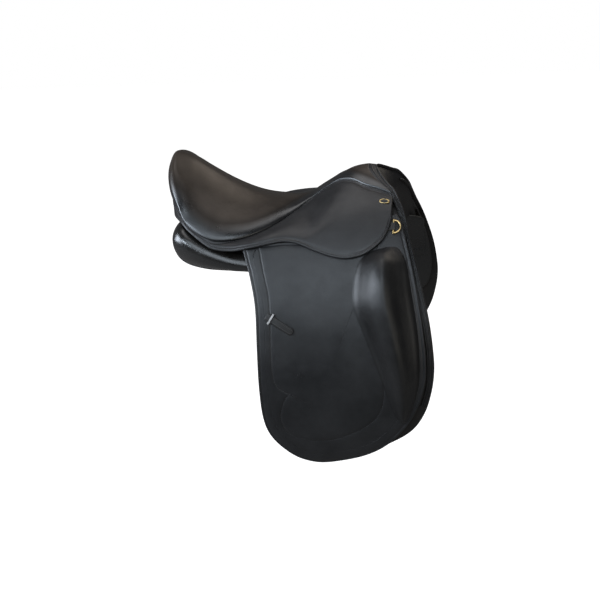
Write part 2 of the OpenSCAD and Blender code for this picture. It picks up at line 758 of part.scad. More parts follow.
module skirt_right() {
  color(black)
  intersection() {
    skirt_band();
    translate([-400 * grow, -300 * grow - play / 2, -100 * grow]) cube(grow * [800, 300, 400]);
  }
}
module skirt_left() {
  color(black) left()
  intersection() {
    skirt_band();
    translate([-400 * grow, -300 * grow - play / 2, -100 * grow]) cube(grow * [800, 300, 400]);
  }
}

// oval stud on the band, near its front top corner
nail_w = 10;
nail_len = 20;
module saddle_nail() {
  p = band_mid(0.52, 0.42) + band_out(0.52) * (leather_t / 2 + 3 * play);
  translate(p)
  rotate([90 - 50, 0, 0])
  rotate([0, 0, -12])
  intersection() {
    union() {
      translate([-(nail_len - nail_w) / 2, -nail_w / 2, 0]) cube([nail_len - nail_w, nail_w, 3]);
      for (s = [-1, 1])
        translate([s * (nail_len - nail_w) / 2, 0, 0]) cylinder(h = 3, d = nail_w, $fn = 48);
    }
    translate([0, 0, 3 - 24]) sphere(r = 24);
  }
}
module saddle_nails() {
  color(brass) {
    saddle_nail();
    left() saddle_nail();
  }
}

// dee ring: its bar lies in the bore of the chape, the bow lies forward
dee_x = 213 * grow;
dee_z = 63 * grow;
dee_lift = play + 2.6;
module dee_frame() {
  a = side_a(dee_z, side_r);
  translate([dee_x, side_off, -side_drop])
  rotate([90 - a, 0, 0])
  translate([0, 0, side_r + dee_lift])
  children();
}
chape_w = 15;
module dee_chape() {
  dee_frame()
  difference() {
    union() {
      translate([-5, -chape_w / 2, -2.6]) cube([8.4, chape_w, 5.2]);
      translate([-21, -chape_w / 2, -2.6]) cube([16, chape_w, 1.6]);
    }
    translate([0, chape_w / 2 + 1, 0])
    rotate([90, 0, 0])
    cylinder(h = chape_w + 2, r = dee_wire_r + play / 2 - 0.05, $fn = 32);
  }
}
module dee_chape_right() {
  color(black) dee_chape();
}
module dee_chape_left() {
  color(black) left() dee_chape();
}
module dee_ring() {
  dee_frame() {
    translate([0, dee_r + dee_wire_r, 0])
    rotate([90, 0, 0])
    cylinder(h = 2 * (dee_r + dee_wire_r), r = dee_wire_r, $fn = 32);
    rotate([0, 0, -90])
    rotate_extrude(angle = 180, $fn = 96)
    translate([dee_r, 0]) circle(r = dee_bow_r, $fn = 32);
  }
}
module dee_ring_right() {
  color(brass) dee_ring();
}
module dee_ring_left() {
  color(brass) left() dee_ring();
}

// strip over the front arch, from the seat's front edge forward
facing_t = 5;
facing_half = 92 * grow;
facing_step = 80 * grow;
function facing_z(y) = grow * (148 - 34 * (abs(y) / facing_step) ^ 1.6);
function seat_front(y) = let(e = edge(0, SEAT[0][3]), s = SEAT[0][6]) s + (e[0] - s) * (y / e[1]) ^ 2;
module pommel_facing() {
  ys = [for (i = [-12:12]) facing_half * i / 12];
  function row(y, low) = let(
    x0 = seat_front(y) + 3 * play, x1 = grow * (171 + 44 * (abs(y) / facing_step) ^ 1.6), xm = (x0 + x1) / 2,
    z = facing_z(y), zl = z - facing_t)
    low ? [[x0, y, zl], [xm, y, zl], [x1 - 2, y, zl - 4], [x1, y, z - 5]]
    : [[x0, y, z], [xm, y, z + 1], [x1 - 2, y, z - 1], [x1, y, z - 4]];
  color(black) plate_solid([for (y = ys) row(y, false)], [for (y = ys) row(y, true)]);
}

seat();
pommel_facing();
tree_frame();
tree_head();
gullet_plate();
head_rivets();
spring_right();
spring_left();
seat_webs();
head_lining();
point_pocket_right();
point_pocket_left();
stirrup_bar_right();
stirrup_bar_left();
catch_pins();
bar_catch_right();
bar_catch_left();
girth_web_right();
girth_web_left();
strap_rivets();
girth_strap_front_right();
girth_strap_rear_right();
girth_strap_front_left();
girth_strap_rear_left();
panel_right();
panel_left();
panel_bridge();
sweat_flap_right();
sweat_flap_left();
flap_head_right();
flap_head_left();
flap_right();
flap_left();
knee_block_right();
knee_block_left();
keeper_right();
keeper_left();
staple_right();
staple_left();
skirt_right();
skirt_left();
skirt_lobe_right();
skirt_lobe_left();
saddle_nails();
dee_chape_right();
dee_chape_left();
dee_ring_right();
dee_ring_left();
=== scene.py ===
"""Looks of a dressage saddle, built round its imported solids.

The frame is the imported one: metres, +X forward, +Y left, +Z up, with the origin on the rack
ridge under the seat. The forms are worked out in millimetres on numpy grids, for the right
side, and mirrored for the left one.
"""

import logging
import math
from dataclasses import dataclass, field
from enum import Enum, IntEnum
from typing import ClassVar, Dict, List, Optional, Sequence, Tuple, Union

import bmesh
import bpy
import numpy as np
from mathutils import Matrix, Vector

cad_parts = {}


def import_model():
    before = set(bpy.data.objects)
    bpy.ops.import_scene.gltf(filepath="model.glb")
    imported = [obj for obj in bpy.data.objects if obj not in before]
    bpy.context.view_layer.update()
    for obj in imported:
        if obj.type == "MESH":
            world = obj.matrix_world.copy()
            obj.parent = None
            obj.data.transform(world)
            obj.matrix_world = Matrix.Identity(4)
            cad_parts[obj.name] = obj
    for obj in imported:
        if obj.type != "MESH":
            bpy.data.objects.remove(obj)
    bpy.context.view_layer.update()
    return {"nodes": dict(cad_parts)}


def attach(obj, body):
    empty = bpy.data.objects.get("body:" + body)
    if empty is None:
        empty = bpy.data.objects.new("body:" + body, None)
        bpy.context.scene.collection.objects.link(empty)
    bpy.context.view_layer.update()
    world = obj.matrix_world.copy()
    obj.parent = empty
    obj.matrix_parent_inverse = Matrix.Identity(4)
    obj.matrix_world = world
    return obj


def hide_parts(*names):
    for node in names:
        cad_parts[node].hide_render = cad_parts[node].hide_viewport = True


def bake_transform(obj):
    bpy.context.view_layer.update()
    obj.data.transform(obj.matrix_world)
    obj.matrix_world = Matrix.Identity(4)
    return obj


LOG = logging.getLogger("saddle")
MM = 0.001  # one millimetre, in metres
SIDE_R = 450.0  # outside of the flaps: a cylinder along X
SIDE_OFF = 180.0  # y of that cylinder's axis, for the right side
SIDE_DROP = 255.0  # depth of that axis below the origin
SKIRT_R = 456.5  # outside of the skirts on the same axis
LEATHER = 4.0  # thickness of flaps and skirts
UNSEWN = 50.0  # distance that stands for no sewn line nearby
WELD = 2e-6  # points closer than this are joined, in metres
LOBE_END = 7.6  # place along the seat's rows where the skirt's lobe ends
TAIL_START = 8.0  # place along the seat's rows where the skirt's tail begins
SKIRT_STITCH = (2.6, 0.7, 3.8)  # length, thickness and pitch, here and below
FLAP_STITCH = (2.9, 0.8, 4.0)
KEEPER_STITCH = (2.2, 0.7, 3.2)
MIRROR = np.array([1.0, -1.0, 1.0])  # takes a point to the other side
Colour = Tuple[float, float, float]
Socket = bpy.types.NodeSocket


class Side(Enum):
    """The two sides of the saddle, with the sign of their Y."""

    RIGHT = -1
    LEFT = 1

    @property
    def word(self) -> str:
        """Gives the side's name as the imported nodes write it."""
        return self.name.lower()

    def place(self, points: np.ndarray) -> np.ndarray:
        """Gives right-side points (..., 3) on this side."""
        return points * np.array([1.0, -float(self.value), 1.0])


class Grain(Enum):
    """Grain of a leather, as the size of its cells in millimetres."""

    SMOOTH = 0.4
    FINE = 1.0
    PEBBLED = 1.8


def ease(knots: Sequence[float], values: np.ndarray, at: np.ndarray) -> np.ndarray:
    """Cubic curve through knots, each slope being that between the two neighbours.

    Args:
        knots: places of the values, rising or falling.
        values: one value or point per knot.
        at: where the curve is read; it is held at its ends.

    Returns:
        The values there, in the shape of at (and of one point).
    """
    k = np.asarray(knots, float)
    v = np.asarray(values, float)
    if k[0] > k[-1]:
        k, v = k[::-1], v[::-1]
    x = np.clip(np.asarray(at, float), k[0], k[-1])
    n = len(k)
    low = np.maximum(np.arange(n) - 1, 0)
    high = np.minimum(np.arange(n) + 1, n - 1)
    extra = (1,) * (v.ndim - 1)
    slope = (v[high] - v[low]) / (k[high] - k[low]).reshape((-1,) + extra)
    i = np.clip(np.searchsorted(k, x, side="right") - 1, 0, n - 2)
    h = (k[i + 1] - k[i]).reshape(x.shape + extra)
    t = ((x - k[i]).reshape(x.shape + extra)) / h
    a, b = t * t * (3 - 2 * t), t * t * (t - 1)
    return v[i] * (1 - a) + v[i + 1] * a + slope[i] * h * t * (1 - t) ** 2 + slope[i + 1] * h * b


def run(points: Sequence[Sequence[float]], per: int) -> np.ndarray:
    """Smooth curve through points, with per points for each step."""
    p = np.asarray(points, float)
    return ease(np.arange(len(p)), p, np.linspace(0, len(p) - 1, (len(p) - 1) * per + 1))


def table(rows: Sequence[Sequence[float]]) -> np.ndarray:
    """Gives a dataclass field that holds rows of measures."""
    return field(default_factory=lambda: np.array(rows, float))


def curve(points: Sequence[Sequence[float]], per: int,
          then: Sequence[Sequence[float]] = ()) -> np.ndarray:
    """Gives a dataclass field that holds a smooth flat curve, and single points after it."""
    return field(default_factory=lambda: np.concatenate([run(points, per), np.reshape(then, (-1, 2))]))


def unit(v: np.ndarray) -> np.ndarray:
    """Gives vectors of length one."""
    return v / np.maximum(np.linalg.norm(v, axis=-1, keepdims=True), 1e-12)


def turns(count: int) -> np.ndarray:
    """Gives the angles of count points round a circle."""
    return np.linspace(0, 2 * np.pi, count, endpoint=False)


def power(v: np.ndarray, k: float) -> np.ndarray:
    """Raises the size of values to a power and keeps their sign."""
    return np.sign(v) * np.abs(v) ** k


def normals(mid: np.ndarray, towards: Sequence[float]) -> np.ndarray:
    """Normals of a grid of points, on the side that mostly faces a direction."""
    out = unit(np.cross(np.gradient(mid, axis=0), np.gradient(mid, axis=1)))
    return out * np.sign((out * np.array(towards, float)).sum(-1).mean())


def sag(a: np.ndarray, c: np.ndarray, b: np.ndarray, share: np.ndarray) -> np.ndarray:
    """Curves of second degree from points a to b, drawn towards c, read at shares (m,)."""
    w = share[None, :, None]
    return a[:, None] * (1 - w) ** 2 + 2 * c[:, None] * w * (1 - w) + b[:, None] * w ** 2


def spaced(path: np.ndarray, count: int) -> np.ndarray:
    """Gives count points at equal steps of length along a path of points (n, k)."""
    step = np.linalg.norm(np.diff(path, axis=0), axis=1)
    at = np.concatenate([[0], np.cumsum(step)])
    want = np.linspace(0, at[-1], count)
    return np.stack([np.interp(want, at, path[:, i]) for i in range(path.shape[1])], axis=1)


def spaced_columns(grid: np.ndarray, count: int) -> np.ndarray:
    """Respaces each row of a grid (n, m, 3) to count points at equal steps of length.

    All rows are read in one interpolation: each row's lengths are shifted past the row before.
    """
    step = np.linalg.norm(np.diff(grid, axis=1), axis=2)
    at = np.concatenate([np.zeros((len(grid), 1)), np.cumsum(step, axis=1)], axis=1)
    at = at / np.maximum(at[:, -1:], 1e-9)
    base = 2.0 * np.arange(len(grid))[:, None]
    want = (base + np.linspace(0, 1, count)[None]).ravel()
    knots = (base + at).ravel()
    flat = [np.interp(want, knots, grid[..., i].ravel()) for i in range(3)]
    return np.stack(flat, axis=1).reshape(len(grid), count, 3)


def ring_shares(rings: int) -> np.ndarray:
    """Shares from the centre of a round sheet to its edge, closer together at the edge."""
    return 1 - (1 - np.linspace(0, 1, rings)) ** 1.25


def angle_of(z: np.ndarray, r: float) -> np.ndarray:
    """Polar angle on the side surface of radius r at height z."""
    return np.arcsin(np.clip((np.asarray(z, float) + SIDE_DROP) / r, -1, 1))


def on_side(x: np.ndarray, a: np.ndarray, r: np.ndarray) -> np.ndarray:
    """Points at x, polar angle a and radius r about the right flap axis."""
    x, a, r = np.broadcast_arrays(x, a, r)
    return np.stack([x, SIDE_OFF - r * np.cos(a), r * np.sin(a) - SIDE_DROP], axis=-1)


def side_normal(a: np.ndarray) -> np.ndarray:
    """Outward normals of the side surface at polar angles a."""
    return np.stack([np.zeros_like(a), -np.cos(a), np.sin(a)], axis=-1)


def line_distance(p: np.ndarray, line: np.ndarray) -> np.ndarray:
    """Signed distance of flat points p (n, 2) from an open line of points (m, 2).

    It is the shortest distance to any stretch of the line, with the sign of the side.
    """
    a, b = line[:-1], line[1:]
    d = b - a
    rel = p[:, None, :] - a[None]
    t = np.clip((rel * d).sum(-1) / (d * d).sum(-1), 0, 1)
    off = rel - t[..., None] * d
    size = np.linalg.norm(off, axis=-1)
    i = size.argmin(axis=1)
    n = np.arange(len(p))
    cross = d[i, 0] * off[n, i, 1] - d[i, 1] * off[n, i, 0]
    return size[n, i] * np.where(cross < 0, -1.0, 1.0)


class Shell:
    """Collects grids of points in millimetres and makes one welded mesh object of them."""

    EDGE_STEPS = 6  # points round a sheet's edge
    RING = 10  # points round a cord
    CAP_STEPS = 4  # rings of a cord's end
    THREAD_GRID = (5, 6)  # rings of a stitch, and points of each

    def __init__(self, name: str) -> None:
        """Starts an empty shell with the name of its object."""
        self.name = name
        self.points: List[np.ndarray] = []
        self.faces: List[np.ndarray] = []
        self.seams: List[np.ndarray] = []
        self.count = 0

    def grid(self, p: np.ndarray, wrap: bool = False, seam: Optional[np.ndarray] = None) -> "Shell":
        """Adds a grid of quads, or many of the same size.

        Args:
            p: points (..., rows, columns, 3).
            wrap: joins the last column to the first one.
            seam: distance of each point from the nearest sewn line.

        Returns:
            The shell itself.
        """
        size = p[..., 0].size
        i = np.arange(size).reshape(p.shape[:-1]) + self.count
        if wrap:
            i = np.concatenate([i, i[..., :1]], axis=-1)
        near, far = i[..., :-1, :], i[..., 1:, :]
        quads = np.stack([near[..., :-1], near[..., 1:], far[..., 1:], far[..., :-1]], axis=-1)
        self.points.append(p.reshape(-1, 3))
        self.faces.append(quads.reshape(-1, 4))
        self.seams.append(np.full(size, UNSEWN) if seam is None else seam.ravel())
        self.count += size
        return self

    def sheet(self, mid: np.ndarray, out: np.ndarray, thick: float, wrap: bool = False,
              seam: Optional[np.ndarray] = None) -> "Shell":
        """Adds a sheet of leather: two faces half a thickness from the middle, and a round edge.

        Args:
            mid: middle surface (rows, columns, 3).
            out: its outward normals.
            thick: thickness of the leather.
            wrap: a round sheet, whose first row is its centre and whose last row is its edge.
            seam: distance of each point from the nearest sewn line.

        Returns:
            The shell itself.
        """
        half = thick / 2
        self.grid(mid + out * half, wrap, seam)
        self.grid(mid - out * half, wrap)
        n, m = mid.shape[:2]
        if wrap:
            i, j = np.full(m, n - 1), np.arange(m)
            i_in, j_in = i - 1, j
        else:
            i = np.concatenate([np.zeros(m - 1, int), np.arange(n - 1),
                                np.full(m - 1, n - 1), np.arange(n - 1, 0, -1)])
            j = np.concatenate([np.arange(m - 1), np.full(n - 1, m - 1),
                                np.arange(m - 1, 0, -1), np.zeros(n - 1, int)])
            i_in, j_in = np.clip(i, 1, n - 2), np.clip(j, 1, m - 2)
        b, nb = mid[i, j], out[i, j]
        along = np.roll(b, -1, axis=0) - np.roll(b, 1, axis=0)
        side = unit(np.cross(along, nb))
        inward = (side * (mid[i_in, j_in] - b)).sum(-1, keepdims=True) > 0
        side = np.where(inward, -side, side)
        f = np.linspace(0, np.pi, self.EDGE_STEPS)[:, None, None]
        return self.grid(b + half * (nb * np.cos(f) + side * np.sin(f)), True)

    def tube(self, path: np.ndarray, r: float, ref: Sequence[float] = (0, 0, 1)) -> "Shell":
        """Adds a round cord along a path, each ring square to the path, with rounded ends.

        Args:
            path: points (n, 3).
            r: radius of the cord.
            ref: a direction that the path never follows.

        Returns:
            The shell itself.
        """
        t = unit(np.gradient(path, axis=0))
        a = unit(np.cross(t, np.asarray(ref, float)))
        b = np.cross(a, t)
        f = turns(self.RING)[None, :, None]
        ring = (a[:, None] * np.cos(f) + b[:, None] * np.sin(f)) * r
        p = path[:, None] + ring
        cap = np.linspace(0, np.pi / 2, self.CAP_STEPS)[:0:-1][:, None, None]
        head = path[0] - t[0] * r * np.sin(cap) + ring[0] * np.cos(cap)
        tail = path[-1] + t[-1] * r * np.sin(cap[::-1]) + ring[-1] * np.cos(cap[::-1])
        return self.grid(np.concatenate([head, p, tail]), True)

    def stitches(self, path: np.ndarray, out: np.ndarray, length: float, width: float,
                 pitch: float) -> "Shell":
        """Adds a row of stitches, each a short thread that dives into the leather at both ends.

        Args:
            path: points (n, 3) of the sewn line, on the surface.
            out: outward normals there.
            length: length of one stitch.
            width: thickness of the thread.
            pitch: distance between stitches.

        Returns:
            The shell itself.
        """
        whole = np.linalg.norm(np.diff(path, axis=0), axis=1).sum()
        both = spaced(np.concatenate([path, out], axis=1), max(int(whole / pitch), 2))
        c, n = both[:, :3], unit(both[:, 3:])
        t = unit(np.gradient(c, axis=0))
        s = np.cross(n, t)
        rings, round_it = self.THREAD_GRID
        g, f = np.meshgrid(np.linspace(-1, 1, rings), turns(round_it), indexing="ij")
        body = np.sqrt(np.clip(1 - np.abs(g) ** 2.5, 0, 1)) * 0.9 + 0.1
        arch, sunk = 0.22 * width * (1 - g * g), 0.1
        local = (g * length / 2, np.cos(f) * body * width / 2, np.sin(f) * body * width / 2 + arch - sunk)
        p = c[:, None, None]
        for axis, size in zip((t, s, n), local):
            p = p + axis[:, None, None] * size[None, ..., None]
        return self.grid(p, True)

    def build(self, finish: "Finish", side: Side = Side.RIGHT) -> bpy.types.Object:
        """Makes the mesh object in metres, welds its seams and turns its faces outwards.

        Args:
            finish: the material it gets.
            side: the side that right-side points are placed on.

        Returns:
            The new object.
        """
        mesh = bpy.data.meshes.new(self.name)
        p = side.place(np.concatenate(self.points)) * MM
        mesh.from_pydata(p.tolist(), [], np.concatenate(self.faces).tolist())
        mesh.attributes.new("seam", "FLOAT", "POINT").data.foreach_set(
            "value", np.concatenate(self.seams).astype(np.float32))
        work = bmesh.new()
        work.from_mesh(mesh)
        bmesh.ops.remove_doubles(work, verts=work.verts, dist=WELD)
        bmesh.ops.recalc_face_normals(work, faces=work.faces)
        work.to_mesh(mesh)
        work.free()
        mesh.polygons.foreach_set("use_smooth", np.ones(len(mesh.polygons), bool))
        mesh.update()
        obj = bpy.data.objects.new(self.name, mesh)
        bpy.context.scene.collection.objects.link(obj)
        mesh.materials.append(finish.material())
        return obj


class Nodes:
    """Short way to write the nodes of a tree."""

    def __init__(self, tree: bpy.types.NodeTree) -> None:
        """Takes the tree that the nodes go to."""
        self.tree = tree

    def add(self, kind: str, links: Optional[Dict[object, object]] = None,
            **settings: object) -> bpy.types.Node:
        """Adds a node.

        Args:
            kind: the node's type.
            links: its sockets, each with a value or with the output that feeds it.
            settings: its properties.

        Returns:
            The node.
        """
        node = self.tree.nodes.new(kind)
        for key, value in settings.items():
            setattr(node, key, value)
        for key, value in (links or {}).items():
            if isinstance(value, Socket):
                self.tree.links.new(value, node.inputs[key])
            else:
                node.inputs[key].default_value = value
        return node


class Graph(Nodes):
    """A material's nodes."""

    def __init__(self, name: str) -> None:
        """Starts a material with its shader and Object coordinates."""
        self.mat = bpy.data.materials.new(name)
        self.mat.use_nodes = True
        super().__init__(self.mat.node_tree)
        self.shader = self.tree.nodes["Principled BSDF"]
        self.coord = self.add("ShaderNodeTexCoord").outputs["Object"]

    def math(self, operation: str, a: object, b: object = 0.0) -> Socket:
        """Adds a calculation with two values and gives its output."""
        return self.add("ShaderNodeMath", {0: a, 1: b}, operation=operation).outputs[0]

    def noise(self, scale: float, detail: float = 3.0, rough: float = 0.5) -> Socket:
        """Adds a cloudy pattern with scale features to the metre and gives its value."""
        links = {"Vector": self.coord, "Scale": scale, "Detail": detail, "Roughness": rough}
        return self.add("ShaderNodeTexNoise", links).outputs[0]

    def wave(self, scale: float, distortion: float, detail: float, way: str) -> Socket:
        """Adds bands across a way and gives their value."""
        links = {"Vector": self.coord, "Scale": scale, "Distortion": distortion, "Detail": detail}
        return self.add("ShaderNodeTexWave", links, bands_direction=way).outputs[1]

    def spread(self, value: Socket, low: float, high: float,
               start: float = 0.3, end: float = 0.7) -> Socket:
        """Maps a value from start..end to low..high and gives the output."""
        links = {"Value": value, "From Min": start, "From Max": end, "To Min": low, "To Max": high}
        return self.add("ShaderNodeMapRange", links).outputs[0]

    def mix(self, value: Socket, a: Colour,
            b: Union[Colour, Socket]) -> Socket:
        """Mixes two colours by a value and gives the colour; b may be linked."""
        end = b if isinstance(b, Socket) else (*b, 1)
        node = self.add("ShaderNodeMix", {0: value, 6: (*a, 1), 7: end}, data_type="RGBA")
        return node.outputs[2]

    def seam(self) -> Socket:
        """Gives the distance from the nearest sewn line, as the mesh holds it."""
        return self.add("ShaderNodeAttribute", attribute_name="seam").outputs["Fac"]

    def bump(self, height: Socket) -> None:
        """Raises the surface by a height in millimetres."""
        node = self.add("ShaderNodeBump", {"Height": height, "Strength": 1.0, "Distance": MM})
        self.feed("Normal", node.outputs[0])

    def feed(self, socket: str, value: object) -> None:
        """Sets a socket of the shader to a value, or links it."""
        if isinstance(value, Socket):
            self.tree.links.new(value, self.shader.inputs[socket])
        else:
            self.shader.inputs[socket].default_value = value


@dataclass(frozen=True)
class Finish:
    """A surface finish; each kind writes its own material once.

    The material's name differs from the slot's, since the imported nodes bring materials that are
    named after their slots.
    """

    name: str
    slot: str

    def material(self) -> bpy.types.Material:
        """Gives the finish's material, made the first time it is asked for."""
        title = self.name + "_look"
        found = bpy.data.materials.get(title)
        if found is None:
            graph = Graph(title)
            self.write(graph)
            found = graph.mat
        return found

    def write(self, g: Graph) -> None:
        """Writes the material's nodes."""
        raise NotImplementedError


@dataclass(frozen=True)
class LeatherFinish(Finish):
    """Dressed leather: cells of grain, cloudy colour, and grooves along sewn lines.

    A leather with a roll has painted shade for that width from its seam: darker and bluer, with a painted
    highlight along a bright foot, a dull crest, a softer dish beyond, and a painted bluish reflection tint.
    """

    CLOUDS: ClassVar[float] = 14.0  # features to the metre, here and below
    SHEEN: ClassVar[float] = 30.0
    SWELLS: ClassVar[float] = 60.0
    CREASES: ClassVar[float] = 420.0
    GROOVES: ClassVar[Tuple[Tuple[float, float], ...]] = ((0.35, 0.7), (0.03, 0.6))  # sharpness, depth

    colour: Colour = (0.007, 0.007, 0.0075)
    worn: Colour = (0.018, 0.018, 0.018)
    rough: float = 0.4
    grain: Grain = Grain.FINE
    relief: float = 0.05
    sewn: bool = False
    tint: Colour = (0.92, 0.97, 1.0)
    shine: float = 0.5
    # Roll fields: width of the band of painted shade and highlight up from the seam, its darker bluer shade
    # colour and its bluish reflection tint.
    roll: float = 0.0
    roll_shade_colour: Colour = (0.007, 0.0072, 0.008)
    roll_reflection_tint: Colour = (0.9, 0.96, 1.0)

    def write(self, g: Graph) -> None:
        """Writes grain cells, finer creases, colour clouds, roughness, sewn grooves, and on a roll painted
        shade and highlight.
        """
        cells = g.add("ShaderNodeTexVoronoi", {"Vector": g.coord, "Scale": 1 / MM / self.grain.value},
                      feature="DISTANCE_TO_EDGE").outputs[0]
        height = g.math("MULTIPLY", g.spread(cells, 0.0, 1.0, 0.0, 0.25), self.relief)
        for pattern, share in ((g.noise(self.CREASES, 3.0, 0.6), 0.8), (g.noise(self.SWELLS, 2.0), 3.0)):
            height = g.math("ADD", height, g.math("MULTIPLY", pattern, self.relief * share))
        if self.sewn:
            d = g.seam()
            for sharp, depth in self.GROOVES:
                fall = g.math("EXPONENT", g.math("MULTIPLY", g.math("MULTIPLY", d, d), -sharp))
                height = g.math("ADD", height, g.math("MULTIPLY", fall, -depth))
        g.bump(height)
        clouds = g.noise(self.CLOUDS, 4.0, 0.6)
        colour = g.mix(g.spread(clouds, 0.0, 1.0, 0.35, 0.75), self.colour, self.worn)
        rough = g.spread(g.noise(self.SHEEN, 3.0), self.rough - 0.06, self.rough + 0.07)
        shine: Union[float, Socket] = self.shine
        tint: Union[Sequence[float], Socket] = self.tint + (1.0,)
        # Painted shade and painted highlight on the roll: darker, bluer colour and reflection tint near the
        # seam, a bright foot and a dull crest by specular level.
        if self.roll:
            d = g.seam()
            foot, crest, top, far = [self.roll * k for k in (0.6, 1.1, 1.5, 2.0)]
            dish = g.spread(d, 0.0, 1.0, foot, top)
            colour = g.mix(dish, self.roll_shade_colour, colour)
            tint = g.mix(dish, self.roll_reflection_tint, self.tint)
            rough = g.math("ADD", rough, g.spread(d, -0.03, 0.0, foot, top))
            side = g.spread(d, self.shine * 1.8, self.shine * 0.3, foot, crest)
            shine = g.math("ADD", side, g.spread(d, 0.0, self.shine * 0.7, self.roll, far))
        g.feed("Base Color", colour)
        g.feed("Roughness", rough)
        g.feed("Specular IOR Level", shine)
        g.feed("Specular Tint", tint)


@dataclass(frozen=True)
class MetalFinish(Finish):
    """Polished or drawn metal with fine scratches and cloudy tarnish."""

    colour: Colour = (0.55, 0.55, 0.55)
    dull: Colour = (0.32, 0.32, 0.32)
    rough: float = 0.25

    def write(self, g: Graph) -> None:
        """Writes tarnish, roughness and fine scratches."""
        clouds = g.noise(90.0, 4.0, 0.6)
        g.feed("Base Color", g.mix(g.spread(clouds, 0, 1, 0.4, 0.75), self.colour, self.dull))
        g.feed("Metallic", 1.0)
        g.feed("Roughness", g.spread(clouds, self.rough - 0.05, self.rough + 0.12))
        g.bump(g.math("MULTIPLY", g.noise(1500.0, 2.0), 0.015))


@dataclass(frozen=True)
class WoodFinish(Finish):
    """Laminated beech: plies in layers, with streaks along them."""

    colour: Colour = (0.42, 0.26, 0.13)
    dark: Colour = (0.26, 0.14, 0.06)

    def write(self, g: Graph) -> None:
        """Writes plies by height, and streaks drawn out along X."""
        drawn = g.add("ShaderNodeMapping", {"Vector": g.coord, "Scale": (8, 160, 160)}).outputs[0]
        streaks = g.add("ShaderNodeTexNoise", {"Vector": drawn, "Scale": 1.0, "Detail": 5.0}).outputs[0]
        plies = g.wave(180.0, 1.5, 2.0, "Z")
        both = g.math("ADD", g.math("MULTIPLY", plies, 0.4), g.math("MULTIPLY", streaks, 0.6))
        g.feed("Base Color", g.mix(g.spread(both, 0, 1, 0.25, 0.75), self.colour, self.dark))
        g.feed("Roughness", g.spread(streaks, 0.45, 0.65))
        g.bump(g.math("MULTIPLY", streaks, 0.12))


@dataclass(frozen=True)
class WebFinish(Finish):
    """Woven webbing: threads crossing at right angles."""

    colour: Colour = (0.5, 0.44, 0.34)
    dark: Colour = (0.26, 0.22, 0.16)

    def write(self, g: Graph) -> None:
        """Writes two crossing rows of threads as colour and relief."""
        weave = g.math("MULTIPLY", g.wave(420.0, 0.6, 1.0, "X"), g.wave(420.0, 0.6, 1.0, "Y"))
        g.feed("Base Color", g.mix(weave, self.dark, self.colour))
        g.feed("Roughness", g.spread(g.noise(200.0), 0.75, 0.9))
        g.bump(g.math("MULTIPLY", weave, 0.3))


@dataclass(frozen=True)
class ThreadFinish(Finish):
    """Waxed thread: twisted strands."""

    colour: Colour = (0.05, 0.05, 0.052)
    worn: Colour = (0.1, 0.1, 0.102)

    def write(self, g: Graph) -> None:
        """Writes twisted strands and waxy patches."""
        strands = g.wave(900.0, 1.0, 1.0, "DIAGONAL")
        g.feed("Base Color", g.mix(strands, self.colour, self.worn))
        g.feed("Roughness", g.spread(g.noise(300.0), 0.4, 0.6))
        g.bump(g.math("MULTIPLY", strands, 0.08))


FLAP_LEATHER = LeatherFinish("flap_leather", "black_leather", (0.013, 0.0137, 0.015),
                             (0.028, 0.029, 0.031), 0.4, sewn=True)
SKIRT_LEATHER = LeatherFinish("skirt_leather", "black_leather", (0.012, 0.012, 0.013),
                              (0.026, 0.026, 0.027), 0.38, sewn=True)
# The seat leather paints shade and a bluish highlight on its side roll, over 46 mm up from the seam.
SEAT_LEATHER = LeatherFinish("seat_leather", "seat_leather", (0.027, 0.0218, 0.0175),
                             (0.044, 0.0355, 0.0285), 0.34, relief=0.025, tint=(1.0, 0.95, 0.9), roll=46.0)
PANEL_LEATHER = LeatherFinish("panel_leather", "panel_leather", (0.006, 0.0056, 0.0052),
                              (0.014, 0.0125, 0.011), 0.27, relief=0.025, shine=1.0)
BLOCK_LEATHER = LeatherFinish("block_leather", "black_leather", rough=0.37)
PIPING_LEATHER = LeatherFinish("piping_leather", "black_leather", (0.008, 0.008, 0.009),
                               (0.02, 0.02, 0.02), 0.34, Grain.SMOOTH, 0.03)
STRAP_LEATHER = LeatherFinish("strap_leather", "black_leather", (0.009, 0.0085, 0.008),
                              (0.024, 0.021, 0.018), 0.46, Grain.PEBBLED, 0.07)
THREAD = ThreadFinish("black_thread", "black_leather")
STEEL = MetalFinish("bar_steel", "steel")
BRASS = MetalFinish("cast_brass", "brass", (0.86, 0.68, 0.34), (0.66, 0.48, 0.2), 0.34)
WOOD = WoodFinish("laminated_beech", "laminated_wood")
WEB = WebFinish("linen_webbing", "webbing")


class Col(IntEnum):
    """Columns of the seat's rows."""

    X = 0
    HALF = 1
    SEAM = 2
    BELLY = 3
    RIM = 4
    MID = 5
    SPINE = 6
    BODY = 7


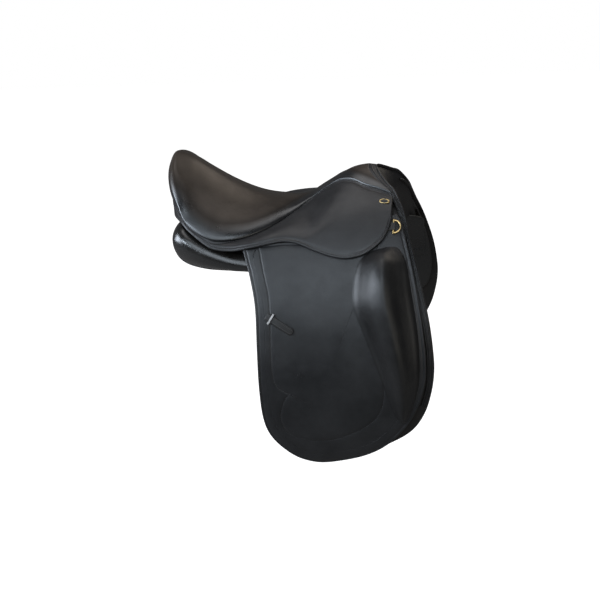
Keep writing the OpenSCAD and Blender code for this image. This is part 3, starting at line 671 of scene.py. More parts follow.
@dataclass
class SeatForm:
    """The seat's shape, by rows from the pommel to the middle of the cantle.

    Each row holds the seam's x, half width and height, the belly past the seam, the height of
    the rim and of the middle, the spine's x that its ray starts from, and its thickness share.
    """

    rows: np.ndarray = table([
        [205, 80, 108, 1.5, 114, 149, 153, 0], [180, 71, 116, 1.5, 121, 149, 141, 0],
        [153, 59, 121, 1.5, 126, 149, 128, .05], [126, 40, 127.5, 1.5, 131.5, 143.5, 113, .15],
        [101, 27, 123.5, 1.5, 127.5, 130.5, 97, .3], [80, 22, 112.5, 1.5, 116.5, 116.5, 79, .5],
        [60, 24, 100, 2, 104, 103.5, 60, .7], [40, 30, 85.5, 3, 90.5, 93.5, 40, .9],
        [4, 62, 64, 5, 73, 84, 4, 1], [-29, 98, 50.5, 7, 62, 83.5, -26, 1],
        [-64, 126, 42.5, 9, 55, 87.5, -52, 1], [-101, 143, 39.5, 10, 53, 102.5, -75, 1],
        [-141, 149, 42.5, 10, 60, 125, -93, 1.05], [-184, 134, 64, 9, 84, 155, -106, 1.1],
        [-204, 114, 85, 8, 113, 168.5, -112, 1.1], [-232, 66, 97, 9, 164, 181.5, -116, 1.1],
        [-245, 0, 102, 11, 181, 184, -118, 1.1]])

    @property
    def last(self) -> int:
        """Place of the last row, which is the middle of the cantle."""
        return len(self.rows) - 1

    def at(self, u: np.ndarray, c: Col) -> np.ndarray:
        """Column c at place u along the rows."""
        return ease(np.arange(len(self.rows)), self.rows[:, c], u)

    def over(self, x: np.ndarray, c: Col) -> np.ndarray:
        """Column c where the seam has this x."""
        return ease(self.rows[:, Col.X], self.rows[:, c], x)

    def out(self, u: np.ndarray) -> np.ndarray:
        """Flat direction (..., 2) from the spine out to the seam."""
        return unit(np.stack([self.at(u, Col.X) - self.at(u, Col.SPINE), self.at(u, Col.HALF)], axis=-1))

    def seam(self, u: np.ndarray, past: float, rise: float) -> np.ndarray:
        """Points (n, 3) along the seam, moved out by past and up by rise."""
        d = self.out(u)
        return np.stack([self.at(u, Col.X) + past * d[:, 0], -self.at(u, Col.HALF) - past * d[:, 1],
                         self.at(u, Col.SEAM) + rise], axis=1)

    def plan(self, u: np.ndarray, q: np.ndarray, past: np.ndarray) -> Tuple[np.ndarray, np.ndarray]:
        """Flat point on the ray of u, at share q from the spine to a line past the seam."""
        d = self.out(u)
        s = self.at(u, Col.SPINE)
        ex, ey = self.at(u, Col.X) + past * d[..., 0], self.at(u, Col.HALF) + past * d[..., 1]
        power = np.where(u < 5, 2 - 0.2 * u, 1.0)
        return s + (ex - s) * np.clip(q, 0, None) ** power, ey * q

    def top(self, x: np.ndarray, y: np.ndarray) -> np.ndarray:
        """Height of the seat's top: from the middle's height down to the rim's, by |y| to 1.6."""
        xx = np.maximum(x, -244.9)
        w = np.maximum(self.over(xx, Col.HALF) + self.over(xx, Col.BELLY), 4)
        mid = self.over(np.maximum(x, -245), Col.MID)
        return mid - (mid - self.over(xx, Col.RIM)) * np.minimum(np.abs(y) / w, 1) ** 1.6

    def rays(self, u: np.ndarray) -> Tuple[np.ndarray, np.ndarray]:
        """Upper and lower chains of points on the rays of u, both from the spine to the seam.

        The upper chain runs over the top, round the rim by a quarter of an ellipse and down the
        side by another one; the lower chain is a shallow curve under the seat. The rim is soft
        between the waist and the cantle, and sharp at both ends.
        """
        u = u[:, None]
        b = self.at(u, Col.BELLY)
        ex, ey = self.plan(u, np.ones_like(u), b)
        s = self.at(u, Col.SPINE)
        length = np.hypot(ex - s, ey)
        rim, zs = self.top(ex, ey), self.at(u, Col.SEAM)
        hs = rim - zs
        soft = np.clip((u - 6.5) / 2, 0, 1) * np.clip((15 - u) / 2, 0, 1)
        sharp_r, soft_r = np.minimum(20, 0.55 * hs), np.minimum(46, 2.6 * hs)
        rr = sharp_r * (1 - soft) + soft_r * soft
        hh = hs * (0.55 + 0.27 * soft)
        q = np.linspace(0, 1, 30)[None]
        f = np.linspace(0, np.pi / 2, 15)[None, 1:]
        x0, y0 = self.plan(u, q * (length - rr) / length, b)
        x1, y1 = self.plan(u, (length - rr + rr * np.sin(f)) / length, b)
        x2, y2 = self.plan(u, (length - b + b * np.cos(f)) / length, b)
        z1 = self.top(x1, y1) - hh * (1 - np.cos(f))
        z2 = rim - hh - (hs - hh) * np.sin(f)
        x = np.concatenate([x0, x1, x2], axis=1)
        y = np.concatenate([y0, y1, y2], axis=1)
        z = np.concatenate([self.top(x0, y0), z1, z2], axis=1)
        low_q = np.linspace(0, 1, x.shape[1])[None]
        lx, ly = self.plan(u, low_q, np.zeros_like(u))
        low = self.over(s, Col.MID) - 14 - 13 * self.at(u, Col.BODY)
        lz = zs + (low - zs) * (1 - low_q ** 2)
        upper = np.stack([x, -y, z], axis=-1)
        return upper, np.stack([lx, -ly, lz], axis=-1)


@dataclass
class Seat:
    """The padded seat and the piping in its seam."""

    form: SeatForm
    rows: int = 260
    passes: int = 6
    piping_r: float = 1.5
    piping_past: float = 2.6
    piping_rise: float = 0.6
    piping_count: int = 420

    def build(self) -> None:
        """Builds the seat, closes its front, and lays the piping along its seam."""
        u = np.linspace(0, self.form.last, self.rows)
        upper, lower = self.form.rays(u)
        rear = np.clip((u[1:, None, None] - TAIL_START) / 2, 0, 1)
        for chain in (upper, lower):
            for _ in range(self.passes):
                after = np.concatenate([chain[2:], chain[-2:-1] * MIRROR])
                chain[1:] += 0.5 * rear * ((chain[:-1] + after) / 2 - chain[1:])
        loop = np.concatenate([upper, lower[:, ::-1], lower * MIRROR, (upper * MIRROR)[:, ::-1]], axis=1)
        shut = (upper[0] + lower[0]) / 2
        end = np.concatenate([shut, shut[::-1], shut * MIRROR, (shut * MIRROR)[::-1]])
        k = np.array([1.0, 0.6])[:, None, None]
        # Distance up from the seam along the seat's top: the mask by which the seat leather paints the shade
        # and highlight of its side roll.
        reach = np.linalg.norm(np.diff(upper, axis=1), axis=2)[:, ::-1].cumsum(axis=1)[:, ::-1]
        reach = np.concatenate([reach, np.zeros((len(u), 1))], axis=1)
        seam = np.concatenate([reach, 0 * reach, 0 * reach, reach[:, ::-1]], axis=1)
        shell = Shell("seat_cover").grid(np.concatenate([end[None] * k + loop[:1] * (1 - k), loop]), True,
                                         np.concatenate([seam[:1], seam[:1], seam]))
        seat = shell.build(SEAT_LEATHER)
        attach(seat, "saddle")
        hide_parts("seat")
        path = self.form.seam(u, self.piping_past, self.piping_rise)
        path = spaced(np.concatenate([path, path[-2::-1] * MIRROR]), self.piping_count)
        piping = Shell("seat_piping").tube(path, self.piping_r).build(PIPING_LEATHER)
        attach(piping, "saddle")
        LOG.info("seat and piping")


@dataclass
class Skirt:
    """The skirt of one side: a band under the seat's seam, the lobe and the tail."""

    form: SeatForm
    radius: float = 454.5
    lobe: np.ndarray = curve([
        [208, 84], [206, 73], [198, 55], [189, 45], [171, 32], [153, 24], [125, 19.5], [97, 23],
        [58, 34], [40, 41], [21, 46], [4, 45]], 6)
    tail: np.ndarray = table([
        [4, 161.4, 45], [-29, 167.4, 38.5], [-64, 171, 32], [-101, 166, 25], [-141, 159, 29], [-184, 137, 52],
        [-207, 116, 66], [-234, 70, 69], [-246, 0, 69]])
    hinge: Tuple[float, float, float] = (106.5, -142.25, 68.7)
    hinge_ends: Tuple[Tuple[float, float], ...] = ((5.0, 50.0), (208.0, 86.0))
    grid: Tuple[int, int] = (300, 56)
    band_steps: int = 24
    arc_steps: int = 16
    passes: int = 160
    top_inset: float = 6.0
    edge_inset: float = 4.5
    waist_x: float = 48.0
    waist_half: float = 34.0
    fold_way: Tuple[float, float, float] = (0.21, -0.913, -0.263)

    def hinge_angle(self, x: np.ndarray) -> np.ndarray:
        """Polar angle of the lobe's bending line at x: straight when seen square to it."""
        lean = math.radians(45)
        (x0, z0), (x1, z1) = self.hinge_ends
        v0, v1 = [SKIRT_R * math.sin(float(angle_of(z, SKIRT_R)) - lean) for z in (z0, z1)]
        line = v0 + (x - x0) * (v1 - v0) / (x1 - x0)
        return lean + np.arcsin((line + 0.3) / SKIRT_R)

    def front_x(self, u: np.ndarray) -> np.ndarray:
        """Seam's x at places u, up to 2 mm further forward towards the pommel."""
        return self.form.at(u, Col.X) + 2 * (1 - np.minimum(u, LOBE_END) / LOBE_END)

    def waist(self, x: np.ndarray) -> np.ndarray:
        """Share by which the band draws in at the waist: a bell over x."""
        return np.exp(-(((x - self.waist_x) / self.waist_half) ** 2))

    def fold_angle(self, x: np.ndarray) -> np.ndarray:
        """Polar angle where the band meets the lobe: the bending line, lower at the waist."""
        return self.hinge_angle(x) - 0.032 * self.waist(x)

    def band(self, u: np.ndarray, v: np.ndarray) -> np.ndarray:
        """Middle surface of the band, a curve of second degree from the seam to its low edge.

        Args:
            u: places along the seat's rows (n,).
            v: shares from the seam down (m,).

        Returns:
            Points (n, m, 3).
        """
        s = self.form.seam(u, past=3.0, rise=-1.15)
        x = self.front_x(u)
        front = on_side(x, self.fold_angle(x), np.full_like(x, self.radius))
        rear = ease(np.arange(len(self.tail)), self.tail, np.maximum(u - TAIL_START, 0)) * MIRROR
        k = np.clip((u - LOBE_END) / (TAIL_START - LOBE_END), 0, 1)[:, None]
        b = front * (1 - k) + rear * k
        size = np.linalg.norm(s - b, axis=1) * np.where(u < TAIL_START, 0.46 - 0.26 * self.waist(x), 0.3)
        a = np.radians(np.where(u < TAIL_START, 45, 45 - 35 * np.minimum(u - TAIL_START, 1)))
        c = b + np.stack([np.zeros_like(a), np.sin(a), np.cos(a)], axis=1) * size[:, None]
        return sag(s, c, b, v)

    def middle(self, count: int, rows: int) -> np.ndarray:
        """Middle surface of the whole skirt: the band, then the arc of the lobe below it."""
        u = np.linspace(0, self.form.last, count)
        band = self.band(u, np.linspace(0, 1, self.band_steps))
        x = self.front_x(u)
        low = np.interp(x[::-1], self.lobe[::-1, 0], self.lobe[::-1, 1])[::-1]
        a0 = self.fold_angle(x)
        a1 = np.minimum(angle_of(low, SKIRT_R), a0)
        share = np.linspace(0, 1, self.arc_steps)[None, 1:]
        arc = on_side(x[:, None], a0[:, None] + (a1 - a0)[:, None] * share, np.full((1, 1), self.radius))
        end = np.repeat(band[:, -1:], self.arc_steps - 1, axis=1)
        arc = np.where((u > LOBE_END)[:, None, None], end, arc)
        whole = spaced_columns(np.concatenate([band, arc], axis=1), rows)
        soft = (0.04 + 0.46 * np.exp(-(((u[1:-1] - 7.7) / 1.1) ** 2)))[:, None]
        below = np.clip(np.linspace(0, 1, rows) / 0.4, 0, 1)
        soft = (soft * (below ** 2 * (3 - 2 * below))[None])[..., None]
        for _ in range(self.passes):
            whole[1:-1] += soft * ((whole[:-2] + whole[2:]) / 2 - whole[1:-1])
        whole[..., 1] = np.minimum(whole[..., 1], -0.05)
        return whole

    def build(self, side: Side) -> None:
        """Builds one side's skirt with its stitching, bending at the lobe."""
        mid = self.middle(*self.grid)
        out = normals(mid, (0, -1, 1))
        length = np.linalg.norm(np.diff(mid, axis=1), axis=2).sum(axis=1)
        down = np.linspace(0, 1, mid.shape[1])[None] * length[:, None]
        up = length[:, None] - down
        seam = np.minimum(np.abs(down - self.top_inset), np.abs(up - self.edge_inset))
        shell = Shell(f"skirt_sheet_{side.word}").sheet(mid, out, LEATHER, seam=seam)
        skirt = shell.build(SKIRT_LEATHER, side)
        shell = Shell(f"skirt_stitches_{side.word}")
        count, last = mid.shape[0], mid.shape[1] - 1
        for row, stop in ((self.top_inset / length, count), (1 - self.edge_inset / length, count - 4)):
            j = np.clip(row * last, 0, last - 0.001)[:stop]
            i, low = np.arange(stop), j.astype(int)
            t = (j - low)[:, None]
            path = mid[i, low] * (1 - t) + mid[i, low + 1] * t + out[i, low] * LEATHER / 2
            shell.stitches(path, out[i, low], *SKIRT_STITCH)
        stitches = shell.build(THREAD, side)
        for piece in (skirt, stitches):
            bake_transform(piece)
        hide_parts(f"skirt_{side.word}", f"skirt_lobe_{side.word}")
        LOG.info("skirt %s", side.word)


def flatten(line: np.ndarray, r: float) -> np.ndarray:
    """Turns x and height on the side surface of radius r into x and arc length."""
    return np.stack([line[:, 0], r * angle_of(line[:, 1], r)], axis=1)


def disc(outline: np.ndarray, centre: Sequence[float], r: float, rings: int,
         count: int) -> Tuple[np.ndarray, np.ndarray]:
    """Round grid of a sheet on the side surface, from a centre out to a closed outline.

    Args:
        outline: x and height on the surface of radius r.
        centre: x and height that every ray to the outline starts from.
        r: radius of the surface.
        rings: rings from the centre out, closer together at the edge.
        count: points round.

    Returns:
        Flat points (rings, count, 2) of x and arc length, and the flat outline (count, 2).
    """
    flat = flatten(outline, r)
    flat = spaced(np.concatenate([flat, flat[:1]]), count + 1)[:-1]
    c = flatten(np.array([centre], float), r)[0]
    return c + ring_shares(rings)[:, None, None] * (flat - c)[None], flat


def lift(flat: np.ndarray, r: float, at: float) -> Tuple[np.ndarray, np.ndarray]:
    """Puts flat points of x and arc length on radius r on the surface of radius at."""
    a = flat[..., 1] / r
    return on_side(flat[..., 0], a, np.full_like(a, at)), side_normal(a)


@dataclass
class Flap:
    """The hanging flap of one side, with its two sewn lines."""

    outline: np.ndarray = curve([
        [216, 82], [225, 71], [235, 44], [247, 6], [259, -45], [269, -99], [275, -152], [275, -190],
        [268, -225], [254, -264], [232, -302], [200, -340], [160, -368], [110, -387], [66, -395],
        [26, -383], [-6, -353], [-26, -320], [-35, -280], [-38, -217], [-39, -142], [-42, -70],
        [-53, -20], [-71, 28]], 8, [
        [-71, 33], [6, 40], [78, 40], [188, 40], [207, 79]])
    upper_line: np.ndarray = curve([
        [-42, 33], [-31, -3], [-19, -44], [-15, -78], [-13, -114], [-13, -141], [-12, -180],
        [-6, -210], [11, -224], [19, -228]], 8)
    lower_line: np.ndarray = curve([
        [19, -228], [8, -245], [0, -275], [2, -298], [14, -320], [43, -334], [73, -335], [113, -325],
        [153, -303], [182, -278], [196, -251], [200, -223], [200, -203]], 8)
    hinge: Tuple[float, float, float] = (96.5, -191.85, -0.9)
    axis: Tuple[float, float, float] = (283, 69.7, 102)
    face: Tuple[float, float, float] = (0, -0.8263, 0.5647)
    centre: Tuple[float, float] = (110, -150)
    grid: Tuple[int, int] = (130, 460)
    edge_rings: int = 22
    edge_inset: float = 4.0
    stitch_sunk: float = 0.35

    def bend(self, side: Side, obj: bpy.types.Object) -> None:
        """Works out the hinge's direction for a piece, which is then not used, and bakes the piece's
        transform into its mesh.
        """
        d = unit(np.cross(self.axis, self.face))
        d = side.place(d * -np.sign(d[2]))
        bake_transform(obj)

    def build(self, side: Side) -> None:
        """Builds one side's flap and its stitches."""
        flat, edge = disc(self.outline, self.centre, SIDE_R, *self.grid)
        mid, out = lift(flat, SIDE_R, SIDE_R - LEATHER / 2)
        lines = [flatten(line, SIDE_R) for line in (self.upper_line, self.lower_line)]
        points = flat.reshape(-1, 2)
        gaps = np.stack([line_distance(points, line[::3]) for line in lines])
        rim = np.full(flat.shape[:2], UNSEWN)
        outer = flat[-self.edge_rings:]
        to_edge = np.abs(line_distance(outer.reshape(-1, 2), np.concatenate([edge, edge[:1]])))
        rim[-self.edge_rings:] = to_edge.reshape(outer.shape[:2]) - self.edge_inset
        gaps = np.concatenate([gaps, rim.reshape(1, -1)])
        seam = gaps[np.abs(gaps).argmin(axis=0), np.arange(len(points))].reshape(flat.shape[:2])
        shell = Shell(f"flap_sheet_{side.word}").sheet(mid, out, LEATHER, True, seam)
        sheet = shell.build(FLAP_LEATHER, side)
        shell = Shell(f"flap_stitches_{side.word}")
        for line in lines:
            path, normal = lift(line, SIDE_R, SIDE_R - self.stitch_sunk)
            shell.stitches(path, normal, *FLAP_STITCH)
        stitches = shell.build(THREAD, side)
        for piece in (sheet, stitches):
            self.bend(side, piece)
        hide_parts(f"flap_{side.word}", f"flap_head_{side.word}")
        LOG.info("flap %s", side.word)


@dataclass
class SweatFlap:
    """The flap under the outer one, with a piped edge."""

    radius: float = 437.0
    centre: Tuple[float, float] = (115, -140)
    grid: Tuple[int, int] = (60, 320)
    piping_r: float = 2.3
    piping_count: int = 260
    pad_centre: Tuple[float, float] = (215, -60)
    pad_grid: Tuple[int, int] = (40, 220)
    pad_flat: float = 430.0
    pad_face: float = 432.5
    pad_edge: float = 1.2
    pad_swell: float = 5.2
    outline: np.ndarray = curve([
        [214, 98], [222, 92], [231, 76], [240, 47], [254, 6], [266, -35], [280, -91], [288, -144],
        [290, -180], [286, -219], [274, -265], [251, -306], [213, -338], [156, -370], [68, -382],
        [28, -368], [-2, -338], [-20, -305], [-28, -250], [-31, -150], [-36, -60], [-50, 0],
        [-56, 22]], 8, [
        [-40, 33], [20, 36], [188, 36], [205, 88]])
    pad: np.ndarray = curve([
        [206, 80], [214, 77], [227, 55], [238, 30], [250, -5], [263, -50], [273, -100], [278, -145],
        [277, -180], [267, -212], [246, -232], [215, -238], [180, -228], [150, -205], [125, -170],
        [108, -120], [98, -60], [95, -15]], 6, [
        [98, 0], [150, 3], [200, 6], [204, 40]])

    def build(self, side: Side) -> None:
        """Builds one side's sweat flap and the piping round its hanging edge."""
        flat, _ = disc(self.outline, self.centre, self.radius, *self.grid)
        mid, out = lift(flat, self.radius, self.radius - LEATHER / 2)
        shell = Shell(f"sweat_flap_sheet_{side.word}").sheet(mid, out, LEATHER, True)
        sheet = shell.build(STRAP_LEATHER, side)
        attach(sheet, "saddle")
        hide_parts(f"sweat_flap_{side.word}")
        hang = spaced(flatten(self.outline[:-4], self.radius), self.piping_count)
        path, _ = lift(hang, self.radius, self.radius - LEATHER / 2)
        shell = Shell(f"sweat_flap_piping_{side.word}").tube(path, self.piping_r, (0.1, -0.8, 0.6))
        piping = shell.build(PIPING_LEATHER, side)
        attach(piping, "saddle")
        self.lining(side)
        LOG.info("sweat flap %s", side.word)

    def lining(self, side: Side) -> None:
        """Builds the padded lining inside the front of the sweat flap, thicker in its middle."""
        flat, _ = disc(self.pad, self.pad_centre, self.pad_flat, *self.pad_grid)
        rho = ring_shares(self.pad_grid[0])
        thick = self.pad_edge + self.pad_swell * np.sqrt(np.clip(1 - rho ** 3, 0, 1))
        a = flat[..., 1] / self.pad_flat
        outer = on_side(flat[..., 0], a, np.full_like(a, self.pad_face))
        inner = on_side(flat[..., 0], a, self.pad_face - np.broadcast_to(thick[:, None], a.shape))
        whole = np.concatenate([outer, inner[::-1]])
        pad = Shell(f"sweat_flap_lining_{side.word}").grid(whole, True).build(PANEL_LEATHER, side)
        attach(pad, "saddle")


@dataclass
class KneeBlock:
    """The padded block on the front of the flap: a long rear flank, a ridge and a hollow front.

    A row holds the height, the rear x, the front x and the ridge's share. The section across holds
    shares of the width and of the ridge.
    """

    rows: np.ndarray = table([
        [33, 199, 221, .04], [27, 175, 228, .2], [17, 157, 235, .5], [2, 147, 241, .82],
        [-26, 141, 247, 1], [-60, 142, 254, 1], [-100, 158, 261, .9], [-145, 177, 265, .76],
        [-190, 194, 265, .56], [-230, 207, 258, .36], [-262, 219, 248, .2],
        [-280, 229, 241, .06]])
    across: np.ndarray = table([
        [0, 0], [.04, .04], [.1, .16], [.2, .43], [.34, .77], [.46, .95], [.56, 1], [.66, .86],
        [.76, .56], [.87, .32], [.95, .18], [1, 0]])
    base: float = 450.4
    foot: float = 0.9
    height: float = 44.0
    grid: Tuple[int, int] = (140, 72)

    def surface(self, n: int, m: int) -> Tuple[np.ndarray, np.ndarray]:
        """Top and base grids: height is the ridge's share along, times the section across."""
        i = np.linspace(0, len(self.rows) - 1, n)
        row = ease(np.arange(len(self.rows)), self.rows, i)
        q = (1 - np.cos(np.linspace(0, np.pi, m))) / 2
        share = np.clip(ease(self.across[:, 0], self.across[:, 1], q), 0, None)
        x = row[:, 1:2] + (row[:, 2:3] - row[:, 1:2]) * q[None]
        a = np.broadcast_to(angle_of(row[:, :1], SIDE_R), x.shape)
        top = self.base + self.foot + self.height * row[:, 3:4] * share[None]
        return on_side(x, a, top), on_side(x, a, np.full_like(x, self.base))

    def build(self, side: Side) -> None:
        """Builds one side's block, closed round its foot."""
        top, low = self.surface(*self.grid)
        ring = np.concatenate([top, low[:, ::-1]], axis=1)
        shut = (top + low)[[0, -1]] / 2
        ends = np.concatenate([shut, shut[:, ::-1]], axis=1)[:, None]
        block = Shell(f"knee_block_cover_{side.word}").grid(
            np.concatenate([ends[0], ring, ends[1]]), True).build(BLOCK_LEATHER, side)
        body = f"flap_{side.word}"
        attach(block, body)
        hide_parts(f"knee_block_{side.word}")
        LOG.info("knee block %s", side.word)


@dataclass
class Panel:
    """The stuffed panel of one side, with its welts.

    A row holds the middle's x, distance from the centre plane and height, the half width, the half
    thickness and the slope in degrees.
    """

    rows: np.ndarray = table([
        [-233, 84, 22, 14, 9, 4], [-226, 84, 22, 42, 30, 5], [-203, 87, 18.5, 56, 43.5, 6],
        [-160, 93, 8, 62, 37, 8], [-105, 98, 1.5, 64, 27, 11], [-45, 105, 0, 63, 22, 17],
        [25, 121, -13, 68, 24, 33], [95, 148, -36, 72, 22, 49], [160, 176, -58, 74, 17, 59],
        [212, 190.5, -64, 72, 11, 61], [248, 194.5, -67.5, 66, 5, 62],
        [262, 194, -70.5, 58, 1.4, 62]])
    bend: float = 420.0
    grid: Tuple[int, int] = (200, 96)
    welt_r: float = 1.6
    welt_turns: Tuple[float, float] = (-52.0, 196.0)
    welt_rows: Tuple[float, float, int] = (0.6, 10.4, 240)

    def section(self, i: np.ndarray, f: np.ndarray) -> np.ndarray:
        """Points of the sections at rows i and turns f: rounded boxes laid on a bent middle line."""
        row = ease(np.arange(len(self.rows)), self.rows, i)
        x, y, z, a, b, t = [row[..., k] for k in range(6)]
        t = np.radians(t)
        s = a * power(np.cos(f), 0.9)
        n = b * power(np.sin(f), 0.92)
        rear = np.clip((-20 - x) / 60, 0, 1)
        n = n * (1 + 0.08 * rear * (np.sin(f) < 0)) + 0.2 * rear * b * np.clip(np.cos(f), 0, 1) ** 2
        d = t + s / self.bend
        cy, cz = y - self.bend * np.sin(t), z - self.bend * np.cos(t)
        r = self.bend + n
        return np.stack([x + 0 * s, -(cy + r * np.sin(d)), cz + r * np.cos(d)], axis=-1)

    def build(self, side: Side) -> None:
        """Builds one side's panel, closes its ends, and lays the welts of its lower seams."""
        i = np.linspace(0, len(self.rows) - 1, self.grid[0])[:, None]
        f = turns(self.grid[1])[None]
        p = self.section(i, np.broadcast_to(f, self.grid))
        first, last = p[0].mean(axis=0), p[-1].mean(axis=0)
        k = np.linspace(0, 1, 4)[:-1][:, None, None]
        head = first + (p[:1] - first) * k
        tail = last + (p[-1:] - last) * k[::-1]
        shell = Shell(f"panel_cover_{side.word}").grid(np.concatenate([head, p, tail]), True)
        panel = shell.build(PANEL_LEATHER, side)
        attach(panel, "saddle")
        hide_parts(f"panel_{side.word}")
        at = np.linspace(*self.welt_rows)
        shell = Shell(f"panel_welt_{side.word}")
        for turn in self.welt_turns:
            shell.tube(self.section(at, np.full_like(at, math.radians(turn))), self.welt_r)
        welt = shell.build(PIPING_LEATHER, side)
        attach(welt, "saddle")
        LOG.info("panel %s", side.word)


@dataclass
class Pommel:
    """The facing over the pommel and down both front edges, its pipings, and the head cover.

    Over the arch a row holds the distance from the centre plane, the rear x, the front x and the
    height. Down the side it holds the height, the radius, the rear x and the front x.
    """

    over: np.ndarray = table([
        [0, 154.2, 171, 147.5], [20, 157.4, 175.8, 143.2], [40, 167, 185.5, 135], [60, 183, 198.8, 124.8],
        [76, 200.3, 211.5, 115.5]])
    down: np.ndarray = table([
        [86, 445, 219, 229], [62, 440.5, 230, 236.5], [35, 439.5, 237.5, 244],
        [6, 439.5, 246.5, 253.5], [-35, 439.5, 257.5, 265], [-91, 439.5, 270, 279],
        [-144, 439.5, 278.5, 287], [-190, 439.5, 280, 288.5], [-219, 439.5, 277, 285.5],
        [-250, 439.5, 269, 277]])
    cover_outer: np.ndarray = table([
        [167, 0, 142.5], [172, -20, 138.5], [182, -40, 130], [195, -60, 119.5], [208, -76, 110],
        [225, -101, 81], [231, -117, 58], [236, -137, 31], [239, -158, 8], [242, -176, -16],
        [243, -182, -25]])
    cover_inner: np.ndarray = table([
        [197, 0, 89.8], [197, -7, 85], [197, -22, 76.5], [197, -40, 64.5], [197, -56, 53],
        [197, -76, 36.5], [197, -97, 16.5], [200, -118, -4], [212, -146, -13], [222, -162, -27]])
    inside: Tuple[float, float, float] = (200.0, 0.0, -60.0)
    thick: float = 4.6
    thinner: float = 2.0
    piping_r: float = 1.45
    piping_at: Tuple[float, ...] = (-0.96, -0.1, 0.96)
    cover_thick: float = 2.5
    cover_bow: Tuple[float, float, float] = (10.0, 0.0, 4.0)

    def lines(self) -> Tuple[np.ndarray, np.ndarray]:
        """Rear and front lines of the facing, from the right foot over the pommel to the left foot."""
        out = []
        for k in (0, 1):
            top = np.stack([self.over[:, 1 + k], -self.over[:, 0], self.over[:, 3]], axis=1)
            side = on_side(self.down[:, 2 + k], angle_of(self.down[:, 0], self.down[:, 1]), self.down[:, 1])
            half = run(np.concatenate([top, side]), 16)
            out.append(np.concatenate([half[::-1], half[1:] * MIRROR]))
        return out[0], out[1]

    def build(self) -> None:
        """Builds the facing as a low roll, its pipings and the front cover.

        The section is a flat rounded bar between the two lines, thick over the arch and thin
        down the sides.
        """
        rear, front = self.lines()
        mid, half = (rear + front) / 2, (front - rear) / 2
        out = unit(np.cross(half, np.gradient(mid, axis=0)))
        out *= np.sign((out * (mid - np.array(self.inside))).sum(-1, keepdims=True))
        f = turns(32)
        cx = power(np.cos(f), 0.7)
        fall = np.clip((np.abs(mid[:, 1]) - 60) / 60, 0, 1)
        thick = (self.thick - self.thinner * fall)[:, None, None]
        p = mid[:, None] + half[:, None] * cx[None, :, None]
        p = p + out[:, None] * thick / 2 * (np.sin(f) - 1)[None, :, None]
        ends = [np.broadcast_to(p[k].mean(axis=0), (1,) + p[k].shape) for k in (0, -1)]
        facing = Shell("pommel_roll").grid(np.concatenate([ends[0], p, ends[1]]), True).build(SKIRT_LEATHER)
        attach(facing, "saddle")
        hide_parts("pommel_facing")
        shell = Shell("pommel_piping")
        for share in self.piping_at:
            shell.tube(mid + half * share - out * 0.4, self.piping_r, (0.7, 0, 0.7))
        piping = shell.build(PIPING_LEATHER)
        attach(piping, "saddle")
        self.cover()
        LOG.info("pommel")

    def cover(self) -> None:
        """Builds the leather in front of the head arch, from the lining out to the facing."""
        halves = [spaced(run(line, 20), 120) for line in (self.cover_outer, self.cover_inner)]
        o, i = [np.concatenate([line[::-1] * MIRROR, line[1:]]) for line in halves]
        c = (o + i) / 2 + np.array(self.cover_bow)
        mid = sag(i, c, o, np.linspace(0, 1, 18))
        out = normals(mid, (1, 0, 0))
        cover = Shell("head_cover").sheet(mid, out, self.cover_thick).build(SKIRT_LEATHER)
        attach(cover, "saddle")


